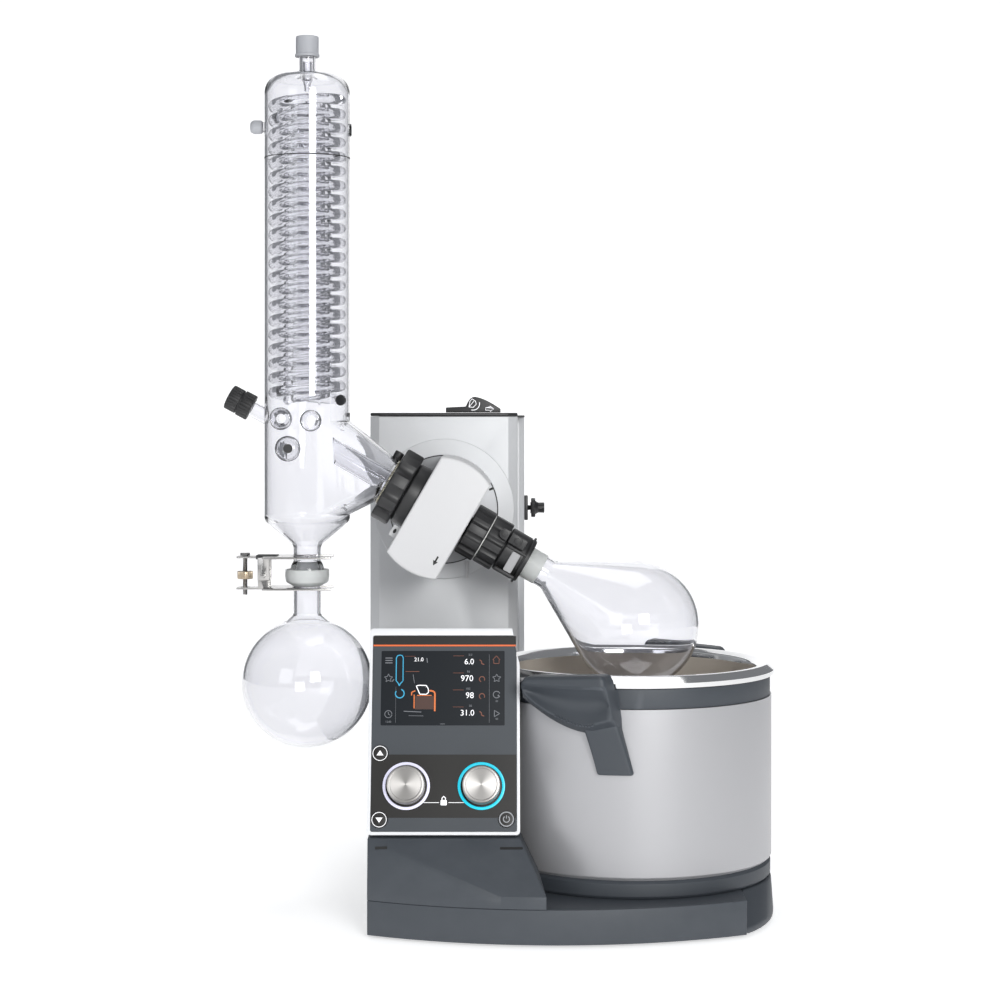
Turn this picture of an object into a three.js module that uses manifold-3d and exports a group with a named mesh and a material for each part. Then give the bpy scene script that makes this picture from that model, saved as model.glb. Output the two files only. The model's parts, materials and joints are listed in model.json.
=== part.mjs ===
// Rotary evaporator: lift tower, tilting drive head, rotating flask in a heating bath,
// vertical coil condenser and receiving flask. Millimetres, +Z up, +X towards the bath.
import * as THREE from 'three';
import { mergeVertices } from 'three/addons/utils/BufferGeometryUtils.js';
import { ConvexGeometry } from 'three/addons/geometries/ConvexGeometry.js';
import Module from 'manifold-3d';

// ---- driving dimensions -----------------------------------------------------------------
const GAP = 0.3;            // between pieces that touch
const RUN_GAP = 0.5;        // radial clearance of turning pieces

const BASE_HEIGHT = 36;
const BASE_LIFT = 2.5;      // skirt above the bench
const BASE_WALL = 4;
const FRONT_ARC_RADIUS = 425;
const FRONT_ARC_X = 54;
const FRONT_APEX_Y = -181;
const BASE_LEFT = -128.4;
const FOOT_RADIUS = 13;
const FOOT_HEIGHT = 7.7;

const PANEL_WIDTH = 148.5;
const PANEL_LENGTH = 202;
const PANEL_THICKNESS = 8;
const PANEL_TILT = THREE.MathUtils.degToRad(15.5);
const PANEL_LEFT = -129;
const PANEL_FOOT_Y = -133;
const PANEL_FOOT_Z = 98;
const COVER_TOP_Z = 94.5;
const COVER_FOLD_Z = 48;
const CONSOLE_BACK_Y = 92;
const CONSOLE_TOP_Z = 288;
const CONSOLE_BACK_DROP = 22; // fall of the housing's top towards the tower
const SHELL_WALL = 3;

const KNOB_RADIUS = 18.3;
const KNOB_HEIGHT = 18;
const KNOB_SPACING = 73.2;
const KNOB_Z = 47;
const BUTTON_RADIUS = 7.8;
const BUTTON_TRAVEL = 0.8;

const CARRIAGE_WIDTH = 159;
const CARRIAGE_LEFT = -140;
const CARRIAGE_FRONT_Y = 98;
const CARRIAGE_DEPTH = 130;
const CARRIAGE_BOTTOM_Z = 60;
const CARRIAGE_TOP_Z = 503;
const CARRIAGE_CHAMFER = 10;
const LIFT_STROKE = 155;
const MAST_WIDTH = 162;
const MAST_DEPTH = 114;
const MAST_TOP_Z = 502;
const CAP_THICKNESS = 3.7;
const ROD_RADIUS = 6;
const ROD_SPACING = 96;
const SCREW_RADIUS = 5;

const AXIS_TILT = THREE.MathUtils.degToRad(30);
const PIVOT_Z = 404;
const CONDENSER_ARM = 138.6; // pivot to condenser axis, level
const DISC_RADIUS = 58.2;
const SCALE_RADIUS = 75;
const HEAD_LENGTH = 57.5;
const HEAD_FRONT_Y = -42;
const TUBE_RADIUS = 12;
const FLASK_RADIUS = 65.5;
const FLASK_REACH = 230;     // pivot to flask centre along the axis
const GLASS_WALL = 2.5;

const JACKET_RADIUS = 44;
const JACKET_BOTTOM_Z = 396;
const JACKET_TOP_Z = 836;
const BALL_RADIUS = 17.5;
const BALL_Z = 344;
const RECEIVER_RADIUS = 66.8;
const RECEIVER_GAP = 2.7;    // receiving flask to the console's side
const COIL_PITCH = 14.7;
const COIL_BOTTOM_Z = 520;
const COIL_TOP_CLEARANCE = 7; // last turn to the shoulder of the jacket

const BATH_RADIUS = 145;
const BATH_LIP = 3;          // lip beyond the skin
const BATH_Y = 6;
const BATH_BOTTOM_Z = 54;
const BAND_BOTTOM_Z = 220;
const BAND_TOP_Z = 239.7;
const BATH_RIM_Z = 252;
const POT_FLOOR_Z = 115;
const POT_RADIUS = 131;
const POT_WALL = 2.2;
const BATH_TO_PANEL = 1.7;
const HANDLE_ANGLE = THREE.MathUtils.degToRad(246);

// ---- derived places ---------------------------------------------------------------------
const PANEL_RIGHT = PANEL_LEFT + PANEL_WIDTH;
const PANEL_X = PANEL_LEFT + PANEL_WIDTH / 2;
const LIP_RADIUS = BATH_RADIUS + BATH_LIP;
const PANEL_AT_RIM_Y = PANEL_FOOT_Y + (BATH_RIM_Z - PANEL_FOOT_Z) * Math.tan(PANEL_TILT);
const CARRIAGE_RIGHT = CARRIAGE_LEFT + CARRIAGE_WIDTH;
/** Half the bath's room, with its clearance, at a depth. */
const bathHalfAt = (y) => Math.sqrt((LIP_RADIUS + BATH_TO_PANEL) ** 2 - (y - BATH_Y) ** 2);
const BATH_X = Math.max(
  PANEL_RIGHT + bathHalfAt(PANEL_AT_RIM_Y),
  CARRIAGE_RIGHT - CARRIAGE_CHAMFER + bathHalfAt(CARRIAGE_FRONT_Y),
  CARRIAGE_RIGHT + bathHalfAt(CARRIAGE_FRONT_Y + CARRIAGE_CHAMFER));
const COIL_TURNS = Math.floor((JACKET_TOP_Z - COIL_TOP_CLEARANCE - COIL_BOTTOM_Z) / COIL_PITCH);
const BASE_RIGHT = BATH_X + 0.72 * BATH_RADIUS;
const APRON_RIGHT = BATH_X + BATH_RADIUS - 1;
const CONDENSER_X = PANEL_LEFT - RECEIVER_GAP - RECEIVER_RADIUS;
const PIVOT_X = CONDENSER_X + CONDENSER_ARM;
const RECEIVER_Z = BALL_Z - 47.5 - RECEIVER_RADIUS;
const CARRIAGE_BACK_Y = CARRIAGE_FRONT_Y + CARRIAGE_DEPTH;
const MAST_RIGHT = CARRIAGE_RIGHT + 8.7;
const MAST_LEFT = MAST_RIGHT - MAST_WIDTH;
const MAST_FRONT_Y = CARRIAGE_BACK_Y + 3;
const MAST_BACK_Y = MAST_FRONT_Y + MAST_DEPTH;
const ROD_X = (CARRIAGE_LEFT + CARRIAGE_RIGHT) / 2;
const ROD_Y = CARRIAGE_FRONT_Y + 0.59 * CARRIAGE_DEPTH;
const ROD_TOP_Z = MAST_TOP_Z - 16;
const SCALE_BACK_Y = CARRIAGE_FRONT_Y - GAP;
const SCALE_FRONT_Y = SCALE_BACK_Y - 5.5;
const DISC_BACK_Y = SCALE_FRONT_Y - RUN_GAP;
const DISC_FRONT_Y = DISC_BACK_Y - 12;

// ---- solids -----------------------------------------------------------------------------
const wasm = await Module();
wasm.setup();

/** A closed three.js geometry as a solid, its faces pointing out. */
function solid(geometry) {
  const bare = geometry.clone();
  bare.deleteAttribute('normal');
  bare.deleteAttribute('uv');
  const merged = mergeVertices(bare, 1e-3);
  const points = merged.attributes.position.array;
  const index = merged.index.array;
  const corner = (i) => new THREE.Vector3().fromArray(points, 3 * i);
  const triangles = [];
  let volume = 0;
  for (let i = 0; i < index.length; i += 3) {
    const [a, b, c] = [index[i], index[i + 1], index[i + 2]];
    if (a === b || b === c || c === a) continue;
    triangles.push([a, b, c]);
    volume += corner(a).dot(corner(b).cross(corner(c)));
  }
  const ordered = volume < 0 ? triangles.map(([a, b, c]) => [a, c, b]) : triangles;
  const triVerts = Uint32Array.from(ordered.flat());
  const vertProperties = Float32Array.from(points);
  return new wasm.Manifold(new wasm.Mesh({ numProp: 3, vertProperties, triVerts }));
}

/** A box from its low and high corners. */
function box(x0, x1, y0, y1, z0, z1) {
  const geometry = new THREE.BoxGeometry(x1 - x0, y1 - y0, z1 - z0);
  return solid(geometry.translate((x0 + x1) / 2, (y0 + y1) / 2, (z0 + z1) / 2));
}

/** Turns a geometry made along +Z so that it runs along another axis. */
function along(geometry, axis) {
  if (axis === 'x') geometry.rotateY(Math.PI / 2);
  if (axis === 'y') geometry.rotateX(-Math.PI / 2);
  return geometry;
}

/** A profile of [radius, height] points turned about an axis. */
function revolve(profile, sides = 32, axis = 'z') {
  const points = profile.map(([r, h]) => new THREE.Vector2(r, h));
  const geometry = new THREE.LatheGeometry(points, sides).rotateX(Math.PI / 2);
  return solid(along(geometry, axis));
}

/** A round bar, or a ring where a bore is given. */
function round(radius, bore, from, to, sides = 32, axis = 'z') {
  if (!bore) return revolve([[0, from], [radius, from], [radius, to], [0, to]], sides, axis);
  const profile = [[bore, from], [radius, from], [radius, to], [bore, to], [bore, from]];
  return revolve(profile, sides, axis);
}

/** Quarter or half circle points of a profile, as [radius, height]. */
function arc(centreR, centreH, radius, fromDeg, toDeg, steps) {
  return Array.from({ length: steps + 1 }, (_, i) => {
    const angle = THREE.MathUtils.degToRad(fromDeg + ((toDeg - fromDeg) * i) / steps);
    return [centreR + radius * Math.cos(angle), centreH + radius * Math.sin(angle)];
  });
}

/** An outline in a plane, pushed out along the axis normal to it. */
function prism(outline, from, to, axis = 'z', curveSegments = 10) {
  const shape = outline instanceof THREE.Shape
    ? outline : new THREE.Shape(outline.map(([u, v]) => new THREE.Vector2(u, v)));
  const options = { depth: to - from, bevelEnabled: false, curveSegments };
  const geometry = new THREE.ExtrudeGeometry(shape, options).translate(0, 0, from);
  if (axis === 'y') geometry.rotateX(Math.PI / 2).scale(1, -1, 1);
  if (axis === 'x') {
    const turn = new THREE.Matrix4().makeBasis(
      new THREE.Vector3(0, 1, 0), new THREE.Vector3(0, 0, 1), new THREE.Vector3(1, 0, 0));
    geometry.applyMatrix4(turn);
  }
  return solid(geometry);
}

/** A straight round bar between two points. */
function bar(start, end, radius, sides = 16) {
  const a = new THREE.Vector3(...start);
  const b = new THREE.Vector3(...end);
  const direction = b.clone().sub(a);
  const geometry = new THREE.CylinderGeometry(radius, radius, direction.length(), sides);
  const turn = new THREE.Quaternion().setFromUnitVectors(
    new THREE.Vector3(0, 1, 0), direction.clone().normalize());
  geometry.applyQuaternion(turn);
  const middle = a.add(b).multiplyScalar(0.5);
  return solid(geometry.translate(middle.x, middle.y, middle.z));
}

/** A bar that follows a curve. */
function sweep(curve, radius, sides, steps) {
  const outline = Array.from({ length: sides }, (_, i) => {
    const angle = (2 * Math.PI * i) / sides;
    return new THREE.Vector2(radius * Math.cos(angle), radius * Math.sin(angle));
  });
  const options = { steps, extrudePath: curve, bevelEnabled: false };
  return solid(new THREE.ExtrudeGeometry(new THREE.Shape(outline), options));
}

/** A rectangle with its front corners cut at 45 degrees, as an outline. */
function chamfered(x0, x1, y0, y1, cut) {
  return [[x0, y0 + cut], [x0 + cut, y0], [x1 - cut, y0], [x1, y0 + cut], [x1, y1], [x0, y1]];
}

/** A rectangle with round corners. */
function roundedRectangle(x0, x1, y0, y1, radius) {
  const shape = new THREE.Shape();
  shape.absarc(x1 - radius, y0 + radius, radius, -Math.PI / 2, 0, false);
  shape.absarc(x1 - radius, y1 - radius, radius, 0, Math.PI / 2, false);
  shape.absarc(x0 + radius, y1 - radius, radius, Math.PI / 2, Math.PI, false);
  shape.absarc(x0 + radius, y0 + radius, radius, Math.PI, 1.5 * Math.PI, false);
  return shape;
}

// ---- finishes ---------------------------------------------------------------------------
const FINISH = {
  slate: [0x484d56, 0.55, 0],
  silver: [0xc3c6cb, 0.42, 0.6],
  pale: [0xe4e6ea, 0.4, 0.1],
  black: [0x17181a, 0.5, 0],
  grey: [0xb9bcc0, 0.5, 0],
  glass: [0xdfe8ea, 0.05, 0],
  steel: [0xb5b2ac, 0.25, 1],
  aluminium: [0xd0d2d5, 0.3, 1],
  brass: [0xc9a45a, 0.3, 1],
  rubber: [0x1b1b1c, 0.9, 0],
  panel: [0x2b2e33, 0.12, 0],
  cyan: [0x35d6ee, 0.3, 0],
  board: [0x1f5a38, 0.6, 0],
  fluoropolymer: [0xf2f2ef, 0.5, 0],
};

/** Adds a named sub-part to a group. */
function add(group, name, shape, finish) {
  const { vertProperties, triVerts, numProp } = shape.getMesh();
  const geometry = new THREE.BufferGeometry();
  const positions = new Float32Array((vertProperties.length / numProp) * 3);
  for (let i = 0; i < positions.length / 3; i += 1) {
    positions.set(vertProperties.subarray(i * numProp, i * numProp + 3), 3 * i);
  }
  geometry.setAttribute('position', new THREE.BufferAttribute(positions, 3));
  geometry.setIndex(new THREE.BufferAttribute(Uint32Array.from(triVerts), 1));
  geometry.computeVertexNormals();
  const [color, roughness, metalness] = FINISH[finish];
  const mesh = new THREE.Mesh(
    geometry, new THREE.MeshStandardMaterial({ color, roughness, metalness }));
  mesh.name = name;
  group.add(mesh);
  return mesh;
}

/** A group at a place, turned about one axis. */
function placed(parent, x, y, z, turn = {}) {
  const group = new THREE.Group();
  group.position.set(x, y, z);
  group.rotation.set(turn.x ?? 0, turn.y ?? 0, turn.z ?? 0);
  parent.add(group);
  return group;
}

const model = new THREE.Group();
const machine = placed(model, 0, 0, 0);

// ---- base -------------------------------------------------------------------------------
/** Outline of the base, drawn in by an inset all round. */
function baseOutline(inset) {
  const radius = FRONT_ARC_RADIUS - inset;
  const centreY = FRONT_APEX_Y + FRONT_ARC_RADIUS;
  const left = BASE_LEFT + inset;
  const right = BASE_RIGHT - inset;
  const steps = 18;
  const front = Array.from({ length: steps + 1 }, (_, i) => {
    const x = left + ((right - left) * i) / steps;
    return [x, centreY - Math.sqrt(radius ** 2 - (x - FRONT_ARC_X) ** 2)];
  });
  const wingBack = BATH_Y + 0.78 * BATH_RADIUS - inset;
  const towerLeft = CARRIAGE_LEFT + 4 + inset;
  const towerRight = MAST_RIGHT + 5 - inset;
  const towerBack = MAST_BACK_Y + 3 - inset;
  return [
    ...front, [right, wingBack], [towerRight, wingBack + 24], [towerRight, towerBack],
    [towerLeft, towerBack], [towerLeft, CARRIAGE_FRONT_Y + inset], [left, CONSOLE_BACK_Y],
  ];
}

/** Centres of the four rubber feet. */
const footPlaces = {
  foot_front_left: [BASE_LEFT + 32, -108],
  foot_front_right: [BASE_RIGHT - 34, -106],
  foot_rear_left: [MAST_LEFT + 24, MAST_BACK_Y - 24],
  foot_rear_right: [MAST_RIGHT - 24, MAST_BACK_Y - 24],
};

function buildBase() {
  let plate = prism(baseOutline(0), BASE_LIFT, BASE_HEIGHT);
  plate = plate.subtract(prism(baseOutline(BASE_WALL), 0, BASE_HEIGHT - BASE_WALL));
  for (const [x, y] of Object.values(footPlaces)) {
    const boss = round(FOOT_RADIUS + 4, 0, FOOT_HEIGHT + GAP, BASE_HEIGHT - 2, 16);
    plate = plate.add(boss.translate(x, y, 0));
  }
  add(machine, 'base_plate', plate, 'slate');
  for (const [name, [x, y]] of Object.entries(footPlaces)) {
    const chamfer = 2;
    const foot = revolve([
      [0, 0], [FOOT_RADIUS - chamfer, 0], [FOOT_RADIUS, chamfer],
      [FOOT_RADIUS, FOOT_HEIGHT], [0, FOOT_HEIGHT]], 16);
    add(placed(machine, x, y, 0), name, foot, 'rubber');
  }

  const shape = new THREE.Shape();
  const left = BASE_RIGHT + GAP;
  const frontY = FRONT_APEX_Y + 44;
  const backY = BATH_Y + 0.78 * BATH_RADIUS;
  shape.moveTo(left, frontY);
  shape.quadraticCurveTo(APRON_RIGHT, frontY + 48, APRON_RIGHT, BATH_Y - 12);
  shape.quadraticCurveTo(APRON_RIGHT, backY - 30, left, backY);
  const foot = prism(shape, BASE_LIFT, BASE_LIFT + 6, 'z', 8);
  const underBath = round(BATH_RADIUS - 0.5, 0, BASE_HEIGHT - GAP - 4, BASE_HEIGHT - GAP, 48)
    .translate(BATH_X, BATH_Y, 0)
    .intersect(box(left, left + 2 * BATH_RADIUS, frontY, backY, 0, BASE_HEIGHT));
  add(machine, 'base_apron', wasm.Manifold.hull([foot, underBath]), 'slate');
}

// ---- control console --------------------------------------------------------------------
/** The bath's room: a round keep-out that the console is hollowed by. */
function bathRoom(extra) {
  return round(LIP_RADIUS + extra, 0, 0, 400, 48).translate(BATH_X, BATH_Y, 0);
}

/** Points of the base's front arc between two x values, at a height. */
function frontArc(x0, x1, z, steps) {
  const centreY = FRONT_APEX_Y + FRONT_ARC_RADIUS;
  return Array.from({ length: steps + 1 }, (_, i) => {
    const x = x0 + ((x1 - x0) * i) / steps;
    const y = centreY - Math.sqrt(FRONT_ARC_RADIUS ** 2 - (x - FRONT_ARC_X) ** 2);
    return new THREE.Vector3(x, y, z);
  });
}

/** The lower cover, from the arc of the base up to the foot of the panel. */
function coverBlock(inset) {
  const left = BASE_LEFT + inset;
  const right = PANEL_RIGHT + 24.5 - inset;
  const topRight = PANEL_RIGHT - inset;
  const low = BASE_HEIGHT + GAP - inset;
  const points = [
    ...frontArc(left, right, low, 8), ...frontArc(left, right, COVER_FOLD_Z, 8),
  ];
  points.forEach((point) => { point.y += inset; });
  for (const x of [left, topRight]) {
    points.push(new THREE.Vector3(x, PANEL_FOOT_Y + inset, COVER_TOP_Z - inset));
    points.push(new THREE.Vector3(x, CONSOLE_BACK_Y - inset, COVER_TOP_Z - inset));
    points.push(new THREE.Vector3(x, CONSOLE_BACK_Y - inset, low));
  }
  return solid(new ConvexGeometry(points)).subtract(bathRoom(BATH_TO_PANEL + inset));
}

/** Outline in Y and Z of the housing behind the panel, drawn in by an inset. */
function housingOutline(inset) {
  const lean = Math.tan(PANEL_TILT);
  const low = COVER_TOP_Z + GAP + (inset ? -1 : 0);
  const high = CONSOLE_TOP_Z - inset;
  const depth = (PANEL_THICKNESS + GAP + inset) / Math.cos(PANEL_TILT);
  const frontAt = (z) => PANEL_FOOT_Y + depth + (z - PANEL_FOOT_Z) * lean;
  const back = CONSOLE_BACK_Y - inset;
  return [[frontAt(low), low], [back, low], [back, high - CONSOLE_BACK_DROP],
    [frontAt(high) + 3, high], [frontAt(high), high]];
}

function buildConsole() {
  const cover = coverBlock(0).subtract(coverBlock(SHELL_WALL));
  add(machine, 'console_cover', cover, 'slate');
  const left = PANEL_LEFT + 1.5;
  const right = PANEL_RIGHT - 1.5;
  const outer = prism(housingOutline(0), left, right, 'x');
  const inner = prism(housingOutline(SHELL_WALL), left + SHELL_WALL, right - SHELL_WALL, 'x');
  const shell = outer.subtract(bathRoom(BATH_TO_PANEL));
  const hollow = inner.subtract(bathRoom(BATH_TO_PANEL + SHELL_WALL));
  add(machine, 'console_housing', shell.subtract(hollow), 'slate');

  const panel = placed(machine, PANEL_X, PANEL_FOOT_Y, PANEL_FOOT_Z, { x: -PANEL_TILT });
  const half = PANEL_WIDTH / 2;
  const glassDepth = 4;
  const edge = 3;
  const topStrip = 6.9;
  const frameShape = roundedRectangle(-half, half, 0, PANEL_LENGTH, 4);
  const pocketShape = roundedRectangle(
    -half + edge, half - edge, edge, PANEL_LENGTH - topStrip, 2);
  const relief = bathRoom(BATH_TO_PANEL / 2)
    .translate(-PANEL_X, -PANEL_FOOT_Y, -PANEL_FOOT_Z)
    .rotate([THREE.MathUtils.radToDeg(PANEL_TILT), 0, 0]);
  const frame = prism(frameShape, 0, PANEL_THICKNESS, 'y', 3)
    .subtract(prism(pocketShape, -1, glassDepth, 'y', 3))
    .subtract(relief);
  add(panel, 'panel_frame', frame, 'pale');

  const glassShape = roundedRectangle(
    -half + edge + GAP, half - edge - GAP, edge + GAP, PANEL_LENGTH - topStrip - GAP, 2);
  let glass = prism(glassShape, 0.2, glassDepth - GAP, 'y', 3);
  const knobX = KNOB_SPACING / 2;
  const ringInner = KNOB_RADIUS + 2;
  const ringOuter = ringInner + 2.8;
  const buttons = {
    button_up: [-62.5, KNOB_Z + 31.5],
    button_down: [-62.5, KNOB_Z - 32.5],
    button_power: [61, KNOB_Z - 32],
  };
  for (const side of [-1, 1]) {
    const groove = round(ringOuter + 2 * GAP, ringInner - 2 * GAP, -1, 2.2, 20, 'y');
    const hole = round(3.5, 0, -1, glassDepth + 1, 12, 'y');
    glass = glass.subtract(groove.translate(side * knobX, 0, KNOB_Z));
    glass = glass.subtract(hole.translate(side * knobX, 0, KNOB_Z));
  }
  for (const [x, z] of Object.values(buttons)) {
    const hole = round(BUTTON_RADIUS + RUN_GAP, 0, -1, glassDepth + 1, 16, 'y');
    glass = glass.subtract(hole.translate(x, 0, z));
  }
  add(panel, 'panel_glass', glass.subtract(relief), 'panel');

  for (const [name, side] of [['left', -1], ['right', 1]]) {
    const spot = placed(panel, side * knobX, 0, KNOB_Z);
    const ring = round(ringOuter, ringInner, -0.8, 2.2 - GAP, 20, 'y');
    add(spot, `light_ring_${name}`, ring, side < 0 ? 'pale' : 'cyan');
    const knob = revolve([
      [0, -KNOB_HEIGHT], [KNOB_RADIUS - 2, -KNOB_HEIGHT], [KNOB_RADIUS, 2 - KNOB_HEIGHT],
      [KNOB_RADIUS, -GAP], [3, -GAP], [3, glassDepth - 2 * GAP], [0, glassDepth - 2 * GAP],
    ], 20, 'y');
    add(spot, `knob_${name}`, knob, 'aluminium');
  }
  for (const [name, [x, z]] of Object.entries(buttons)) {
    const low = glassDepth - BUTTON_TRAVEL - GAP;
    const button = revolve([
      [0, -1.6], [BUTTON_RADIUS - 1, -1.6], [BUTTON_RADIUS, -0.8], [BUTTON_RADIUS, low],
      [0, low]], 16, 'y');
    add(placed(panel, x, 0, z), name, button, 'grey');
  }
  const boardFront = PANEL_THICKNESS + SHELL_WALL + 2;
  const board = box(-62, 32, boardFront, boardFront + 1.6, 20, PANEL_LENGTH - 30);
  add(panel, 'circuit_board', board, 'board');
}

// ---- lift tower -------------------------------------------------------------------------
function buildTower() {
  const mastTube = prism(
    chamfered(MAST_LEFT, MAST_RIGHT, MAST_FRONT_Y, MAST_BACK_Y, 6), BASE_HEIGHT + GAP, MAST_TOP_Z);
  const mastBore = prism(
    chamfered(MAST_LEFT + 3, MAST_RIGHT - 3, MAST_FRONT_Y + 3, MAST_BACK_Y - 3, 5), 0, MAST_TOP_Z - 3);
  const bracketHalf = ROD_SPACING / 2 + 14;
  const bracketBottom = ROD_TOP_Z - 16;
  let bracket = box(
    ROD_X - bracketHalf, ROD_X + bracketHalf, ROD_Y - 12, MAST_FRONT_Y + 1, bracketBottom, ROD_TOP_Z);
  const bores = { '-1': ROD_RADIUS, 0: SCREW_RADIUS, 1: ROD_RADIUS };
  for (const [side, radius] of Object.entries(bores)) {
    const bore = round(radius + GAP, 0, bracketBottom - 1, ROD_TOP_Z + 1, 16);
    bracket = bracket.subtract(bore.translate(ROD_X + (Number(side) * ROD_SPACING) / 2, ROD_Y, 0));
  }
  add(machine, 'mast', mastTube.subtract(mastBore).add(bracket), 'silver');

  for (const [name, side] of [['left', -1], ['right', 1]]) {
    const rod = round(ROD_RADIUS, 0, BASE_HEIGHT + GAP, ROD_TOP_Z - 2, 16);
    add(placed(machine, ROD_X + (side * ROD_SPACING) / 2, ROD_Y, 0), `guide_rod_${name}`, rod, 'steel');
  }
  const motorTop = BASE_HEIGHT + 72;
  const motorHalf = 21;
  const motor = prism(
    roundedRectangle(-motorHalf, motorHalf, -motorHalf, motorHalf, 5), BASE_HEIGHT + GAP, motorTop, 'z', 3);
  const drive = placed(machine, ROD_X, ROD_Y, 0);
  add(drive, 'lift_motor', motor, 'black');
  add(drive, 'lead_screw', round(SCREW_RADIUS, 0, motorTop + GAP, ROD_TOP_Z - 2, 12), 'steel');

  const inletX = MAST_LEFT + 0.45 * MAST_WIDTH;
  const inletBack = MAST_BACK_Y + GAP + 6;
  const inlet = box(inletX - 25, inletX + 25, MAST_BACK_Y + GAP, inletBack, 60, 90)
    .subtract(box(inletX - 13, inletX + 13, inletBack - 4.5, inletBack + 1, 66, 84));
  add(machine, 'power_inlet', inlet, 'black');

  const stopZ = PIVOT_Z - 6;
  const stopY = MAST_FRONT_Y + 31;
  const stop = placed(machine, MAST_RIGHT, stopY, stopZ);
  const blockFront = GAP + 4;
  const block = box(GAP, blockFront, -9, 9, -14, 14)
    .subtract(round(3.4, 0, -1, blockFront + 1, 12, 'x'));
  add(stop, 'stop_block', block, 'black');
  const lobes = 6;
  const star = Array.from({ length: 36 }, (_, i) => {
    const angle = (2 * Math.PI * i) / 36;
    const radius = 10.6 + 1.2 * Math.cos(lobes * angle);
    return [radius * Math.cos(angle), radius * Math.sin(angle)];
  });
  const knob = prism(star, blockFront + 4, blockFront + 19, 'x').add(round(3, 0, 1, blockFront + 5, 12, 'x'));
  add(stop, 'stop_knob', knob, 'black');
}

function buildCarriage() {
  const cut = CARRIAGE_CHAMFER;
  const outer = prism(
    chamfered(CARRIAGE_LEFT, CARRIAGE_RIGHT, CARRIAGE_FRONT_Y, CARRIAGE_BACK_Y, cut),
    CARRIAGE_BOTTOM_Z, CARRIAGE_TOP_Z);
  const inner = prism(
    chamfered(
      CARRIAGE_LEFT + SHELL_WALL, CARRIAGE_RIGHT - SHELL_WALL,
      CARRIAGE_FRONT_Y + SHELL_WALL, CARRIAGE_BACK_Y + 1, cut - 1),
    CARRIAGE_BOTTOM_Z - 1, CARRIAGE_TOP_Z + 1);
  const shaftHole = round(TUBE_RADIUS + 1, 0, CARRIAGE_FRONT_Y - 1, CARRIAGE_FRONT_Y + SHELL_WALL + 1, 24, 'y');
  const cover = outer.subtract(inner).subtract(shaftHole.translate(PIVOT_X, 0, PIVOT_Z));
  add(machine, 'carriage_cover', cover, 'silver');
  const capBottom = CARRIAGE_TOP_Z + GAP;
  const capTop = capBottom + CAP_THICKNESS;
  const cap = prism(
    chamfered(CARRIAGE_LEFT, CARRIAGE_RIGHT, CARRIAGE_FRONT_Y, CARRIAGE_BACK_Y, cut), capBottom, capTop);
  add(machine, 'carriage_cap', cap, 'black');

  const blockHalf = ROD_SPACING / 2 + 16;
  const blockBottom = 230;
  const blockTop = 280;
  let block = box(
    ROD_X - blockHalf, ROD_X + blockHalf, CARRIAGE_FRONT_Y + SHELL_WALL + GAP, ROD_Y + 15,
    blockBottom, blockTop);
  for (const [side, radius] of [[-1, ROD_RADIUS], [0, SCREW_RADIUS], [1, ROD_RADIUS]]) {
    const bore = round(radius + GAP, 0, blockBottom - 1, blockTop + 1, 16);
    block = block.subtract(bore.translate(ROD_X + (side * ROD_SPACING) / 2, ROD_Y, 0));
  }
  add(machine, 'lift_block', block, 'aluminium');

  const scale = round(SCALE_RADIUS, 13, SCALE_FRONT_Y, SCALE_BACK_Y, 32, 'y');
  add(placed(machine, PIVOT_X, 0, PIVOT_Z), 'scale_plate', scale, 'silver');

  const slider = placed(machine, PIVOT_X + 31, CARRIAGE_FRONT_Y + 14, capTop + GAP);
  const hump = new THREE.Shape();
  hump.moveTo(-29.5, 0);
  hump.lineTo(29.5, 0);
  hump.lineTo(29.5, 4);
  hump.quadraticCurveTo(12, 16, 2, 17);
  hump.quadraticCurveTo(-4, 17.5, -8, 6.5);
  hump.lineTo(-29.5, 5.5);
  add(slider, 'tilt_lock_slider', prism(hump, -8, 12, 'y', 5), 'black');
}

// ---- drive head, turned with the axis of rotation along its own +X ------------------------
/** The head's side outline: two arcs about the pivot between two flat sides. */
function headOutline(inset) {
  const left = -HEAD_LENGTH / 2 + inset;
  const right = HEAD_LENGTH / 2 - inset;
  const upper = DISC_RADIUS - inset;
  const lower = DISC_RADIUS + 8 - inset;
  const shape = new THREE.Shape();
  shape.absarc(0, 0, upper, Math.acos(right / upper), Math.acos(left / upper), false);
  shape.absarc(0, 0, lower, -Math.acos(left / lower), -Math.acos(right / lower), false);
  return shape;
}

/** A grip outline with lobes round it, with a hole of a given radius. */
function lobedOutline(radius, depth, lobes, steps, bore) {
  const outline = Array.from({ length: steps }, (_, i) => {
    const angle = (2 * Math.PI * i) / steps;
    const reach = radius - depth * (0.5 - 0.5 * Math.cos(lobes * angle));
    return new THREE.Vector2(reach * Math.cos(angle), reach * Math.sin(angle));
  });
  const shape = new THREE.Shape(outline);
  shape.holes.push(new THREE.Path().absarc(0, 0, bore, 0, 2 * Math.PI, true));
  return shape;
}

const NUT_END = -43.4;
const NUT_START = -62.5;
const BRANCH_BORE = 19;

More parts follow.
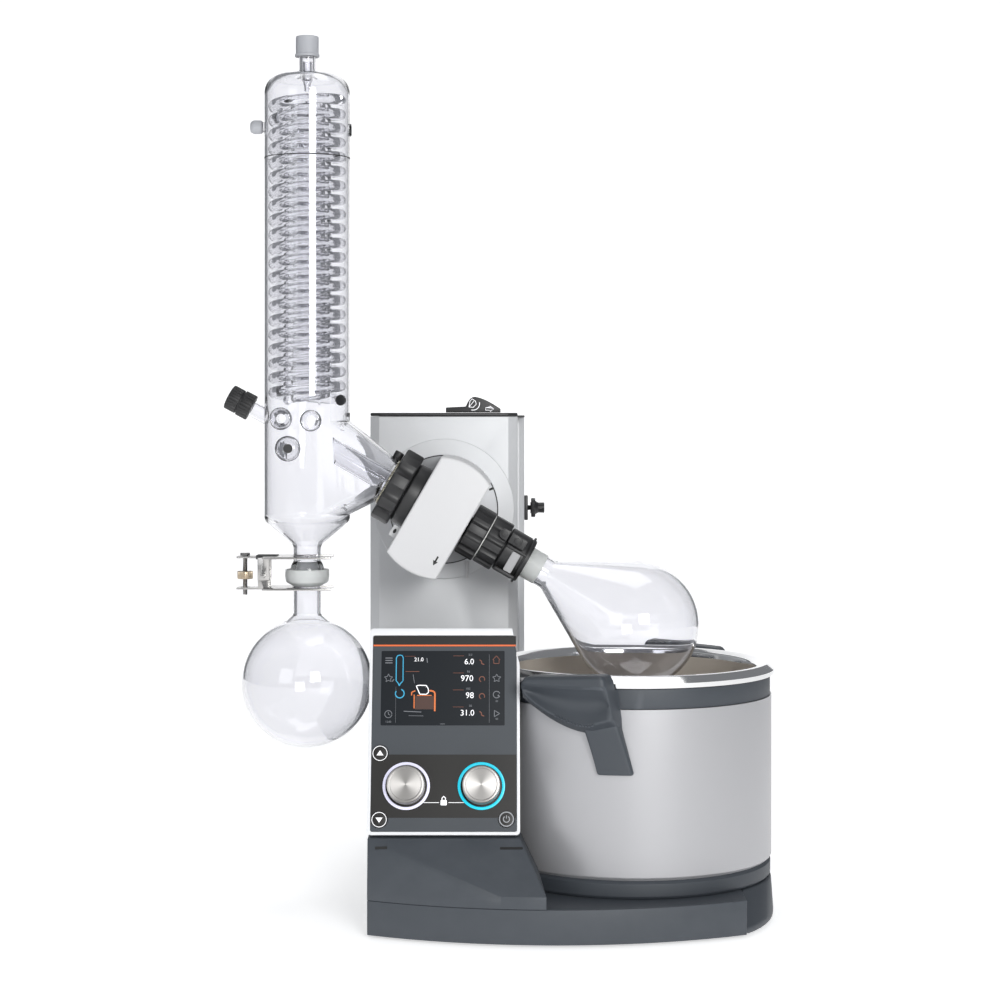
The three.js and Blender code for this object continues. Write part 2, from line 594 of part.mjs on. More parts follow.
function buildHead(head) {
  const disc = round(DISC_RADIUS, 0, DISC_FRONT_Y, DISC_BACK_Y, 40, 'y')
    .add(round(TUBE_RADIUS, 0, DISC_BACK_Y - 1, CARRIAGE_FRONT_Y + 34, 24, 'y'));
  add(head, 'tilt_disc', disc, 'aluminium');

  const headBack = DISC_FRONT_Y - GAP;
  const boreRadius = 26;
  const motorY = 54;
  const motorRadius = 15;
  let housing = prism(headOutline(0), HEAD_FRONT_Y, headBack, 'y', 8);
  housing = housing.subtract(round(boreRadius, 0, -40, 40, 32, 'x'));
  housing = housing.subtract(
    round(motorRadius + 1, 0, -23, 40, 20, 'x').translate(0, motorY, 0));
  housing = housing.subtract(box(10, 22, 20, motorY, -9, 9));
  add(head, 'drive_head', housing, 'pale');
  add(head, 'drive_motor', round(motorRadius, 0, -22.5, 26, 20, 'x').translate(0, motorY, 0), 'black');

  const sideGap = HEAD_LENGTH / 2 + GAP;
  const collarBore = 22;
  add(head, 'seal_collar', round(33.3, collarBore, NUT_END + GAP, -sideGap, 24, 'x'), 'black');
  const seal = round(collarBore - GAP, TUBE_RADIUS + RUN_GAP, NUT_END + 1, -sideGap, 24, 'x');
  add(head, 'vacuum_seal', seal, 'fluoropolymer');
  const hubRadius = 19;
  const bearing = round(boreRadius - GAP, hubRadius + RUN_GAP, -22, -8, 24, 'x');
  add(head, 'rotor_bearing', bearing, 'steel');
  const nut = prism(lobedOutline(40, 5, 9, 36, 24.6), NUT_START, NUT_END, 'x', 12);
  add(head, 'union_nut', nut, 'black');

  // turning pieces
  const tubeEnd = 112;
  const tube = round(TUBE_RADIUS, TUBE_RADIUS - 2, -139, tubeEnd, 24, 'x');
  const slant = new THREE.Matrix4().makeRotationY(THREE.MathUtils.degToRad(-32));
  const cutter = new THREE.BoxGeometry(60, 60, 120).translate(-30, 0, 0).applyMatrix4(slant);
  add(head, 'vapour_tube', tube.subtract(solid(cutter.translate(-128, 0, 0))), 'glass');
  const bore = TUBE_RADIUS + RUN_GAP;
  add(head, 'drive_hub', round(hubRadius, bore, -26, sideGap, 24, 'x'), 'steel');
  const nutStart = 30.4;
  add(head, 'lock_nut', round(27.8, bore, nutStart, 50.4, 24, 'x'), 'black');
  const clipCup = revolve([
    [bore, 50.7], [18, 50.7], [18, 72.5], [24, 72.5], [24, 95], [26, 95], [26, 100.5],
    [17, 100.5], [17, 82.5], [bore, 82.5], [bore, 50.7]], 24, 'x');
  add(head, 'clip_body', clipCup, 'black');
  add(head, 'ejector_ring', round(26.5, 18 + RUN_GAP, 51.5, 71.5, 24, 'x'), 'black');
  const latch = box(73, 92, -31, -26, 4, 22).add(box(80, 86, -27, -24.6, 10, 16));
  add(head, 'clip_latch', latch, 'grey');

  const neck = 16;
  const coneStart = FLASK_REACH - 2 * FLASK_RADIUS + neck / Math.tan(Math.PI / 6);
  const innerRadius = FLASK_RADIUS - GLASS_WALL;
  const innerNeck = neck - GLASS_WALL;
  const innerStart = FLASK_REACH - 2 * innerRadius + innerNeck / Math.tan(Math.PI / 6);
  const bulb = arc(FLASK_REACH, 0, FLASK_RADIUS, 120, 0, 8).map(([h, r]) => [r, h]);
  const hollow = arc(FLASK_REACH, 0, innerRadius, 0, 120, 8).map(([h, r]) => [r, h]);
  const flask = revolve([
    [innerNeck, 83], [neck, 83], [neck, coneStart], ...bulb.slice(0, -1),
    [0, FLASK_REACH + FLASK_RADIUS], [0, FLASK_REACH + innerRadius], ...hollow.slice(1),
    [innerNeck, innerStart], [innerNeck, 83]], 28, 'x');
  add(head, 'evaporating_flask', flask, 'glass');
}

// ---- condenser and receiving flask, upright at rest ---------------------------------------
class Helix extends THREE.Curve {
  constructor(radius, bottom, turns, pitch, start) {
    super();
    Object.assign(this, { radius, bottom, turns, pitch, start });
  }

  getPoint(t, target = new THREE.Vector3()) {
    const angle = this.start + 2 * Math.PI * this.turns * t;
    return target.set(
      this.radius * Math.cos(angle), this.radius * Math.sin(angle),
      this.bottom + this.pitch * this.turns * t);
  }
}

/** Outside of the jacket, or its inside where a wall is given. */
function jacketBody(wall) {
  const radius = JACKET_RADIUS - wall;
  const dome = 19;
  const neck = 8.5 - wall;
  const outlet = 14.2 - wall;
  const low = wall ? BALL_Z - 30 : BALL_Z - 10;
  const high = JACKET_TOP_Z + 37;
  const turned = revolve([
    [0, low], [outlet, low], [outlet, JACKET_BOTTOM_Z - 25 + wall],
    [radius - 3, JACKET_BOTTOM_Z - 3 + wall], [radius, JACKET_BOTTOM_Z + 3 + wall],
    ...arc(radius - dome, JACKET_TOP_Z - wall, dome, 0, 75, 4),
    [neck + 1, JACKET_TOP_Z + dome + 1 - wall], [neck, JACKET_TOP_Z + dome + 4], [neck, high],
    [0, high]], 24);
  const at = (t) => [CONDENSER_ARM + t * Math.cos(AXIS_TILT), 0, PIVOT_Z - t * Math.sin(AXIS_TILT)];
  const shoulder = round(radius - 0.1, 0, JACKET_BOTTOM_Z + 6 + wall, JACKET_BOTTOM_Z + 103 - wall, 24);
  const rim = bar(at(NUT_START - 6), at(NUT_START - (wall ? 3.5 : 1)), 24 - wall, 24);
  const wide = wasm.Manifold.hull([shoulder, rim]);
  const narrow = bar(at(NUT_START - 12), at(wall ? NUT_END + 2 : NUT_END - 3), 22 - wall, 24);
  return turned.add(wide).add(narrow);
}

const VACUUM_RISE = THREE.MathUtils.degToRad(28);
const VACUUM_REACH = 19;

function buildCondenser(condenser) {
  const ports = [[-21, 501, 10], [9, 499, 9.5], [-14, 471, 11.5]];
  const portFront = -JACKET_RADIUS - 18;
  const vacuumAt = (s) => [
    -JACKET_RADIUS + 4 - s * Math.cos(VACUUM_RISE), 0, 502.5 + s * Math.sin(VACUUM_RISE)];
  let jacket = jacketBody(0).add(bar(vacuumAt(0), vacuumAt(VACUUM_REACH), 8.5));
  for (const [x, z, radius] of ports) {
    jacket = jacket.add(bar([x, -34, z], [x, portFront, z], radius - 1.5, 16));
  }
  const ball = revolve([
    [0, BALL_Z - 12.7], ...arc(0, BALL_Z, BALL_RADIUS, -46, 46, 6), [0, BALL_Z + 12.6]], 20);
  jacket = jacket.add(ball).subtract(jacketBody(GLASS_WALL));
  jacket = jacket.subtract(bar(vacuumAt(-8), vacuumAt(VACUUM_REACH + 1), 6));
  for (const [x, z] of ports) {
    jacket = jacket.subtract(bar([x, -30, z], [x, portFront - 1, z], 4.5, 12));
  }
  add(condenser, 'condenser_jacket', jacket, 'glass');

  const coil = (radius, tube, start) => sweep(
    new Helix(radius, COIL_BOTTOM_Z, COIL_TURNS, COIL_PITCH, start), tube, 3, COIL_TURNS * 8);
  add(condenser, 'outer_coil', coil(34.5, 4.4, 0), 'glass');
  add(condenser, 'inner_coil', coil(20.5, 4.1, Math.PI), 'glass');

  const neckTop = JACKET_TOP_Z + 37;
  const feedCap = revolve([
    [0, neckTop + GAP], [12.6, neckTop + GAP], [12.6, neckTop + 3], [11.8, neckTop + 3],
    [11.8, neckTop + 21.5], [11, neckTop + 22.5], [0, neckTop + 22.5]], 24);
  add(condenser, 'feed_cap', feedCap, 'grey');
  const [capX, , capZ] = vacuumAt(VACUUM_REACH + 0.5);
  const cap = revolve([
    [0, 0], [13.6, 0], [13.6, 26], [11, 27], [0, 27]], 24);
  const capSpot = placed(condenser, capX, 0, capZ, { y: -(Math.PI / 2 - VACUUM_RISE) });
  add(capSpot, 'vacuum_cap', cap, 'black');

  const socketOuter = 22.6;
  const neckRadius = 14.2;
  const neckTopZ = BALL_Z - 15;
  const bulbAngle = THREE.MathUtils.radToDeg(Math.acos((neckRadius + 3) / RECEIVER_RADIUS));
  const innerRadius = RECEIVER_RADIUS - GLASS_WALL;
  const seat = BALL_RADIUS + GAP;
  const flask = revolve([
    [0, RECEIVER_Z - RECEIVER_RADIUS],
    ...arc(0, RECEIVER_Z, RECEIVER_RADIUS, -80, bulbAngle, 9),
    [neckRadius, RECEIVER_Z + RECEIVER_RADIUS + 4], [neckRadius, neckTopZ],
    [socketOuter, BALL_Z - 12], [socketOuter, BALL_Z + 2], [seat + 0.6, BALL_Z + 2],
    ...arc(0, BALL_Z, seat, 0, -45, 4),
    [neckRadius - GLASS_WALL, BALL_Z - 15],
    [neckRadius - GLASS_WALL, RECEIVER_Z + RECEIVER_RADIUS + 3],
    ...arc(0, RECEIVER_Z, innerRadius, bulbAngle, -80, 8),
    [0, RECEIVER_Z - innerRadius]], 24);
  add(condenser, 'receiving_flask', flask, 'glass');
}

/** Spring clamp of the ball joint: two forks, a hinge, a bolt and its nut. */
function buildClamp(condenser) {
  const forkGap = 15.7;
  const upperZ = BALL_Z + 13.6;
  const lowerZ = BALL_Z - 18.4;
  const plate = 2;
  const hingeX = -44;
  const hingeZ = BALL_Z - 4;
  const tail = -72;
  const tip = 26;
  const fork = (z) => box(hingeX, tip, -25, 25, z, z + plate)
    .subtract(round(forkGap, 0, z - 1, z + plate + 1, 20))
    .subtract(box(0, tip + 1, -forkGap, forkGap, z - 1, z + plate + 1))
    .add(box(tail, hingeX + 2, -9, 9, z, z + plate));
  const boltX = tail + 8;
  const boltHole = (radius) => round(radius, 0, lowerZ - 1, upperZ + 5, 12).translate(boltX, 0, 0);
  const pivot = round(2.2, 0, -14, 14, 12, 'y').translate(hingeX, 0, hingeZ);
  const pivotHole = round(2.2 + RUN_GAP, 0, -14, 14, 12, 'y').translate(hingeX, 0, hingeZ);
  let upper = fork(upperZ).subtract(boltHole(2.8)).add(pivot);
  let lower = fork(lowerZ).subtract(boltHole(5));
  for (const side of [-1, 1]) {
    const outer = side * 12;
    const inner = side * 9.3;
    const cheek = (y, from, to) => box(
      hingeX - 6, hingeX + 6, Math.min(y, y - side * 1.8), Math.max(y, y - side * 1.8), from, to);
    upper = upper.add(cheek(outer, hingeZ - 5, upperZ + 1));
    lower = lower.add(cheek(inner, lowerZ + 1, hingeZ + 5));
  }
  lower = lower.subtract(pivotHole);
  add(condenser, 'clamp_upper', upper, 'steel');
  add(condenser, 'clamp_lower', lower, 'steel');
  const bolt = round(2.5, 0, lowerZ - 6, upperZ + 3.5, 12).add(
    round(5, 0, upperZ + plate + GAP, upperZ + plate + 3.3, 6));
  const spot = placed(condenser, boltX, 0, 0);
  add(spot, 'clamp_bolt', bolt, 'steel');
  add(spot, 'clamp_nut', round(8, 2.5 + GAP, hingeZ - 4, hingeZ + 4, 20), 'brass');
}

// ---- heating bath -------------------------------------------------------------------------
function buildBath(bath) {
  add(bath, 'bath_base', round(BATH_RADIUS - 4, 100, BASE_HEIGHT + GAP, BATH_BOTTOM_Z - GAP, 40), 'slate');
  const skinWall = 2.5;
  const skin = revolve([
    [0, BATH_BOTTOM_Z], [BATH_RADIUS - 3, BATH_BOTTOM_Z], [BATH_RADIUS, BATH_BOTTOM_Z + 3],
    [BATH_RADIUS, BAND_BOTTOM_Z - GAP], [BATH_RADIUS - skinWall, BAND_BOTTOM_Z - GAP],
    [BATH_RADIUS - skinWall, BATH_BOTTOM_Z + 4], [0, BATH_BOTTOM_Z + 4]], 40);
  add(bath, 'bath_skin', skin, 'silver');

  const bandRadius = BATH_RADIUS - 2;
  const bandInner = bandRadius - 6;
  let band = round(bandRadius, bandInner, BAND_BOTTOM_Z, BAND_TOP_Z, 40);
  const grip = [
    [bandRadius - 3, BAND_BOTTOM_Z], [bandRadius + 5, BAND_BOTTOM_Z - 14],
    [bandRadius + 17, BAND_BOTTOM_Z - 20], [bandRadius + 28, BAND_BOTTOM_Z + 6],
    [bandRadius + 30, BAND_TOP_Z], [bandRadius + 22, BAND_TOP_Z + 12],
    [bandRadius + 8, BAND_TOP_Z + 10], [bandRadius + 6, BAND_TOP_Z], [bandRadius - 3, BAND_TOP_Z]];
  const gripHalf = 43;
  for (const angle of [HANDLE_ANGLE, HANDLE_ANGLE - Math.PI]) {
    const handle = prism(grip, -gripHalf, gripHalf, 'y');
    band = band.add(handle.rotate([0, 0, THREE.MathUtils.radToDeg(angle)]));
  }
  band = band.subtract(round(bandInner, 0, BAND_BOTTOM_Z - 40, BAND_TOP_Z + 40, 40));
  band = band.subtract(round(BATH_RADIUS + GAP, 0, BAND_BOTTOM_Z - 60, BAND_BOTTOM_Z, 40));
  band = band.subtract(round(LIP_RADIUS + GAP, 0, BAND_TOP_Z, BAND_TOP_Z + 60, 40));
  add(bath, 'bath_band', band, 'slate');

  const bore = POT_RADIUS - POT_WALL;
  const crest = LIP_RADIUS - 8;
  const pot = revolve([
    [0, POT_FLOOR_Z], [POT_RADIUS - 16, POT_FLOOR_Z], [POT_RADIUS - 5, POT_FLOOR_Z + 5],
    [POT_RADIUS, POT_FLOOR_Z + 16], [POT_RADIUS, BATH_RIM_Z - 6],
    [crest, BATH_RIM_Z - POT_WALL], [LIP_RADIUS - 3.5, BATH_RIM_Z - 5],
    [LIP_RADIUS - 2, BATH_RIM_Z - 11.5], [LIP_RADIUS, BATH_RIM_Z - 11.5],
    [LIP_RADIUS - 1.5, BATH_RIM_Z - 4], [crest, BATH_RIM_Z], [bore + 2, BATH_RIM_Z - 1.5],
    [bore, BATH_RIM_Z - 5], [bore, POT_FLOOR_Z + 17], [bore - 5, POT_FLOOR_Z + 7],
    [bore - 15, POT_FLOOR_Z + POT_WALL], [0, POT_FLOOR_Z + POT_WALL]], 40);
  add(bath, 'bath_pot', pot, 'steel');
  const heater = round(POT_RADIUS - 22, 60, POT_FLOOR_Z - 15, POT_FLOOR_Z - GAP, 32);
  add(bath, 'bath_heater', heater, 'aluminium');
}

buildBase();
buildConsole();
buildTower();
buildCarriage();
buildHead(placed(machine, PIVOT_X, 0, PIVOT_Z, { y: AXIS_TILT }));
const upright = placed(machine, CONDENSER_X, 0, 0);
buildCondenser(upright);
buildClamp(upright);
buildBath(placed(machine, BATH_X, BATH_Y, 0));

// The origin is on the bench, below the middle of the whole machine.
model.updateMatrixWorld(true);
const extent = new THREE.Box3().setFromObject(model);
const middle = extent.getCenter(new THREE.Vector3());
machine.position.set(-middle.x, -middle.y, -extent.min.z);
model.updateMatrixWorld(true);

model.userData = {
  originShift: [middle.x, middle.y, extent.min.z],
  pivot: [PIVOT_X, 0, PIVOT_Z],
  condenserX: CONDENSER_X,
  bathCentre: [BATH_X, BATH_Y],
  panel: [PANEL_X, PANEL_FOOT_Y, PANEL_FOOT_Z],
  liftStroke: LIFT_STROKE,
};

export default model;
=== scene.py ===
"""A bench rotary evaporator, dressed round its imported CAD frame."""

import json
import logging
import math
from dataclasses import dataclass, field
from enum import Enum
from typing import Iterable, Optional, Sequence

import bmesh
import bpy
from mathutils import Matrix, Vector
from mathutils.bvhtree import BVHTree


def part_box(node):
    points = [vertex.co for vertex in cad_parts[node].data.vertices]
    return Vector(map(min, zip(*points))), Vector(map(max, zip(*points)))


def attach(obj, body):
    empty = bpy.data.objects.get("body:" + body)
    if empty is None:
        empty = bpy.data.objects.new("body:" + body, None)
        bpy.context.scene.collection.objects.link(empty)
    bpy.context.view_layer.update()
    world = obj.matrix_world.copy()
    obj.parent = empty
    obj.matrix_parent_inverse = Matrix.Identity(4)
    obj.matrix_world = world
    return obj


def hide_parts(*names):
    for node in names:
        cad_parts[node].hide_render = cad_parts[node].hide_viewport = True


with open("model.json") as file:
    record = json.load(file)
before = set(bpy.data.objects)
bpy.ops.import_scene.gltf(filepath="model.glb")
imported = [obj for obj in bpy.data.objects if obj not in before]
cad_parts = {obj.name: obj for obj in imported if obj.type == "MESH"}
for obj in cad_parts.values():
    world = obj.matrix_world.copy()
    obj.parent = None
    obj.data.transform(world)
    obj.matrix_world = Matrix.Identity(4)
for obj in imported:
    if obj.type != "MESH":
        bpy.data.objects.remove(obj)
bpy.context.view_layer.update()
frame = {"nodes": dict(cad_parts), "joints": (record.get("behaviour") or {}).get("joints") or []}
LOG = logging.getLogger("evaporator")
MM = 0.001
FULL_TURN = 2 * math.pi

Profile = list[tuple[float, float]]
Outline = list[tuple[float, float]]


# ---- places taken from the frame -------------------------------------------------------
def joint(name: str) -> dict:
    """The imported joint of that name."""
    return next(j for j in frame["joints"] if j["name"] == name)


def middle(node: str) -> Vector:
    """The middle of a CAD node's box, in metres."""
    low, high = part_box(node)
    return (Vector(low) + Vector(high)) / 2


def millimetres(origin: Vector, x_axis: Vector, y_axis: Vector) -> Matrix:
    """A matrix from local millimetres to the frame's metres.

    Args:
        origin: where the local origin is, in metres.
        x_axis: the local X axis in the frame.
        y_axis: the local Y axis in the frame.

    Returns:
        The placing matrix, its scale included.
    """
    z_axis = x_axis.cross(y_axis)
    turn = Matrix((x_axis, y_axis, z_axis)).transposed().to_4x4()
    return Matrix.Translation(origin) @ turn @ Matrix.Scale(MM, 4)


X, Y, Z = Vector((1, 0, 0)), Vector((0, 1, 0)), Vector((0, 0, 1))
PIVOT = Vector(joint("head_tilt")["pos_m"])
AXIS = Vector(joint("flask_rotation")["axis"]).normalized()
HEAD = millimetres(PIVOT, AXIS, Y)
CONDENSER = millimetres(Vector((middle("inner_coil").x, PIVOT.y, 0)), X, Y)
BATH = millimetres(Vector((*middle("bath_pot").xy, 0)), X, Y)
WORLD_MM = Matrix.Scale(MM, 4)


# ---- shared shader effects -------------------------------------------------------------
def new_group(name: str, inputs: dict[str, float], outputs: Iterable[str]) -> bpy.types.NodeTree:
    """An empty shader node group with float inputs and outputs.

    Args:
        name: the group's name.
        inputs: each input socket's name and default value.
        outputs: the output sockets' names.

    Returns:
        The new node group, with its Group Input and Group Output nodes.
    """
    tree = bpy.data.node_groups.new(name, "ShaderNodeTree")
    for socket, value in inputs.items():
        made = tree.interface.new_socket(socket, in_out="INPUT", socket_type="NodeSocketFloat")
        made.default_value = value
    for socket in outputs:
        tree.interface.new_socket(socket, in_out="OUTPUT", socket_type="NodeSocketFloat")
    tree.nodes.new("NodeGroupInput").name = "in"
    tree.nodes.new("NodeGroupOutput").name = "out"
    return tree


def math_node(tree: bpy.types.NodeTree, operation: str, a: object,
              b: object) -> bpy.types.NodeSocket:
    """Adds a Math node whose inputs are sockets or numbers, and returns its output.

    Args:
        tree: the node tree to add to.
        operation: Blender's name for the operation.
        a: the first number or socket.
        b: the second number or socket.

    Returns:
        The new node's output socket.
    """
    node = tree.nodes.new("ShaderNodeMath")
    node.operation = operation
    for socket, value in zip(node.inputs, (a, b)):
        if isinstance(value, (int, float)):
            socket.default_value = value
        else:
            tree.links.new(value, socket)
    return node.outputs[0]


def grain_group() -> bpy.types.NodeTree:
    """Fine moulded or powder-coat grain with slow patches over it.

    Returns:
        The node group.
    """
    tree = new_group("surface_grain", {"Scale": 900, "Patch Scale": 12, "Patch": 0.2},
                     ("Height", "Patch"))
    coordinates = tree.nodes.new("ShaderNodeTexCoord").outputs["Object"]
    sockets = tree.nodes["in"].outputs
    fine = tree.nodes.new("ShaderNodeTexNoise")
    fine.inputs["Detail"].default_value = 3
    slow = tree.nodes.new("ShaderNodeTexNoise")
    slow.inputs["Detail"].default_value = 4
    for noise, scale in ((fine, sockets["Scale"]), (slow, sockets["Patch Scale"])):
        tree.links.new(coordinates, noise.inputs["Vector"])
        tree.links.new(scale, noise.inputs["Scale"])
    tree.links.new(fine.outputs["Fac"], tree.nodes["out"].inputs["Height"])
    centred = math_node(tree, "SUBTRACT", slow.outputs["Fac"], 0.5)
    patch = math_node(tree, "MULTIPLY", centred, sockets["Patch"])
    tree.links.new(patch, tree.nodes["out"].inputs["Patch"])
    return tree


def brushed_group() -> bpy.types.NodeTree:
    """Fine streaks round the upright axis, as a spun or drawn metal has.

    Returns:
        The node group.
    """
    tree = new_group("brushed_streaks", {"Across": 900, "Along": 8}, ("Height",))
    coordinates = tree.nodes.new("ShaderNodeTexCoord").outputs["Object"]
    sockets = tree.nodes["in"].outputs
    split = tree.nodes.new("ShaderNodeSeparateXYZ")
    tree.links.new(coordinates, split.inputs[0])
    join = tree.nodes.new("ShaderNodeCombineXYZ")
    for index, scale in ((0, "Along"), (1, "Along"), (2, "Across")):
        scaled = math_node(tree, "MULTIPLY", split.outputs[index], sockets[scale])
        tree.links.new(scaled, join.inputs[index])
    noise = tree.nodes.new("ShaderNodeTexNoise")
    noise.inputs["Scale"].default_value = 1
    noise.inputs["Detail"].default_value = 2
    tree.links.new(join.outputs[0], noise.inputs["Vector"])
    tree.links.new(noise.outputs["Fac"], tree.nodes["out"].inputs["Height"])
    return tree


def painted_sheen_fans_group() -> bpy.types.NodeTree:
    """Painted highlight and shade: light and dark fans round the panel's normal, standing for the
    reflections that a turned face shows, with fine turning rings as bumps.

    Returns:
        The node group.
    """
    tree = new_group("turned_rings_and_painted_sheen", {"Fans": 2, "Phase": 0, "Sharpness": 1.4}, ("Height", "Shade"))
    uv = tree.nodes.new("ShaderNodeUVMap").outputs["UV"]
    split = tree.nodes.new("ShaderNodeSeparateXYZ")
    tree.links.new(uv, split.inputs[0])
    sockets = tree.nodes["in"].outputs
    ahead = math_node(tree, "SUBTRACT", split.outputs[0], sockets["Phase"])
    turns = math_node(tree, "MULTIPLY", ahead, sockets["Fans"])
    wave = math_node(tree, "COSINE", math_node(tree, "MULTIPLY", turns, FULL_TURN), 0)
    share = math_node(tree, "MULTIPLY", math_node(tree, "ADD", wave, 1.0), 0.5)
    tree.links.new(math_node(tree, "POWER", share, sockets["Sharpness"]),
                   tree.nodes["out"].inputs["Shade"])
    rings = tree.nodes.new("ShaderNodeTexNoise")
    rings.noise_dimensions = "1D"
    rings.inputs["Scale"].default_value = 60
    tree.links.new(split.outputs[1], rings.inputs["W"])
    tree.links.new(rings.outputs["Fac"], tree.nodes["out"].inputs["Height"])
    return tree


def wear_group() -> bpy.types.NodeTree:
    """A mask of the raised edges that hands and cloths polish, broken up by noise.

    Returns:
        The node group.
    """
    tree = new_group("edge_wear", {"Start": 0.51, "End": 0.6, "Break Up": 60}, ("Mask",))
    raised = tree.nodes.new("ShaderNodeNewGeometry").outputs["Pointiness"]
    coordinates = tree.nodes.new("ShaderNodeTexCoord").outputs["Object"]
    sockets = tree.nodes["in"].outputs
    span = tree.nodes.new("ShaderNodeMapRange")
    for name, socket in (("Value", raised), ("From Min", sockets["Start"]),
                         ("From Max", sockets["End"])):
        tree.links.new(socket, span.inputs[name])
    noise = tree.nodes.new("ShaderNodeTexNoise")
    tree.links.new(coordinates, noise.inputs["Vector"])
    tree.links.new(sockets["Break Up"], noise.inputs["Scale"])
    mask = math_node(tree, "MULTIPLY", span.outputs[0], noise.outputs["Fac"])
    tree.links.new(mask, tree.nodes["out"].inputs["Mask"])
    return tree


class Pattern(Enum):
    """Which shared effect a finish wears."""

    GRAIN = "surface_grain"
    BRUSHED = "brushed_streaks"
    TURNED_WITH_PAINTED_SHEEN = "turned_rings_and_painted_sheen"


@dataclass(frozen=True)
class Finish:
    """One material: its colour, its shine and the fine pattern on it."""

    name: str
    slot: str
    color: tuple[float, float, float]
    roughness: float = 0.5
    metallic: float = 0.0
    bump: float = 0.1
    bump_size: float = 0.0002
    grain_scale: float = 900.0
    patch_scale: float = 12.0
    patch: float = 0.12
    pattern: Pattern = Pattern.GRAIN
    coat: float = 0.0
    transmission: float = 0.0
    ior: float = 1.5
    glow: float = 0.0
    wear: float = 0.0
    sheen_phase: float = 0.0
    sheen_sharpness: float = 1.4
    shine: float = 0.5

    def material(self) -> bpy.types.Material:
        """The finish's material, made once and shared.

        Returns:
            The finished material.
        """
        found = bpy.data.materials.get(self.name)
        if found:
            return found
        made = bpy.data.materials.new(self.name)
        made.use_nodes = True
        tree = made.node_tree
        shader = tree.nodes["Principled BSDF"]
        shader.inputs["Base Color"].default_value = (*self.color, 1)
        shader.inputs["Metallic"].default_value = self.metallic
        shader.inputs["Roughness"].default_value = self.roughness
        shader.inputs["Specular IOR Level"].default_value = self.shine
        shader.inputs["Coat Weight"].default_value = self.coat
        shader.inputs["Coat Roughness"].default_value = 0.08
        shader.inputs["IOR"].default_value = self.ior
        shader.inputs["Transmission Weight"].default_value = self.transmission
        if self.glow:
            shader.inputs["Emission Color"].default_value = (*self.color, 1)
            shader.inputs["Emission Strength"].default_value = self.glow
        if not self.bump and not self.patch:
            return made
        group = tree.nodes.new("ShaderNodeGroup")
        group.node_tree = bpy.data.node_groups[self.pattern.value]
        bump = tree.nodes.new("ShaderNodeBump")
        bump.inputs["Strength"].default_value = self.bump
        bump.inputs["Distance"].default_value = self.bump_size
        tree.links.new(group.outputs["Height"], bump.inputs["Height"])
        tree.links.new(bump.outputs[0], shader.inputs["Normal"])
        if self.pattern is Pattern.GRAIN:
            group.inputs["Scale"].default_value = self.grain_scale
            group.inputs["Patch Scale"].default_value = self.patch_scale
            group.inputs["Patch"].default_value = self.patch
            self._vary(tree, group.outputs["Patch"], shader)
        elif self.pattern is Pattern.TURNED_WITH_PAINTED_SHEEN:
            group.inputs["Phase"].default_value = self.sheen_phase
            group.inputs["Sharpness"].default_value = self.sheen_sharpness
            # Painted highlight and shade: the fans run the base colour between a darker and a lighter
            # copy of it.
            self._blend_colors(tree, group.outputs["Shade"], shader, 0.42, 1.15)
        else:
            group.inputs["Across"].default_value = self.grain_scale
            streaks = math_node(tree, "MULTIPLY", group.outputs["Height"], self.patch)
            rough = math_node(tree, "ADD", streaks, self.roughness - self.patch / 2)
            tree.links.new(rough, shader.inputs["Roughness"])
        return made

    def _vary(self, tree: bpy.types.NodeTree, patch: bpy.types.NodeSocket,
              shader: bpy.types.Node) -> None:
        """Lets the slow patches move the roughness and, on solids, the colour a little.

        Args:
            tree: the material's node tree.
            patch: the socket with the soft patches.
            shader: the shader that is fed.
        """
        rough = math_node(tree, "ADD", patch, self.roughness)
        tree.links.new(rough, shader.inputs["Roughness"])
        if not (self.transmission or self.glow):
            self._blend_colors(tree, math_node(tree, "ADD", patch, 0.5), shader, 0.9, 1.1)

    def _blend_colors(self, tree: bpy.types.NodeTree, share: bpy.types.NodeSocket,
                      shader: bpy.types.Node,
                      dark: float, light: float) -> None:
        """Runs the colour from a darker to a lighter shade by a mask.

        Args:
            tree: the material's node tree.
            share: the socket that mixes the two colours.
            shader: the shader that is fed.
            dark: the factor of the darker colour.
            light: the factor of the lighter colour.
        """
        mix = tree.nodes.new("ShaderNodeMix")
        mix.data_type = "RGBA"
        low, high = ((*(min(1, share_of * c) for c in self.color), 1) for share_of in (dark, light))
        mix.inputs[6].default_value = low
        mix.inputs[7].default_value = high
        tree.links.new(share, mix.inputs[0])
        colour = mix.outputs[2]
        if self.wear:
            edges = tree.nodes.new("ShaderNodeGroup")
            edges.node_tree = bpy.data.node_groups["edge_wear"]
            polished = tree.nodes.new("ShaderNodeMix")
            polished.data_type = "RGBA"
            tree.links.new(math_node(tree, "MULTIPLY", edges.outputs["Mask"], self.wear),
                           polished.inputs[0])
            tree.links.new(colour, polished.inputs[6])
            polished.inputs[7].default_value = (*(min(1, 2.2 * c + 0.05) for c in self.color), 1)
            colour = polished.outputs[2]
        tree.links.new(colour, shader.inputs["Base Color"])


SLATE = Finish("slate_moulding", "slate_plastic", (0.049, 0.057, 0.068), 0.5, bump=0.3,
               grain_scale=1500,
               wear=0.5)
SILVER = Finish("silver_powder_coat", "silver_paint", (0.66, 0.67, 0.685), 0.5, 0.2, bump=0.35,
                grain_scale=1700, wear=0.3)
PALE = Finish("pale_satin_coat", "pale_paint", (0.82, 0.83, 0.85), 0.38, 0.0, bump=0.1, wear=0.2)
BLACK = Finish("black_moulding", "black_plastic", (0.016, 0.016, 0.017), 0.42, bump=0.25,
               grain_scale=1300,
               wear=0.6)
HEAD_WHITE = Finish("head_white_satin", "pale_paint", (0.64, 0.64, 0.65), 0.45, 0.0, bump=0.15,
                    grain_scale=1500, wear=0.2)
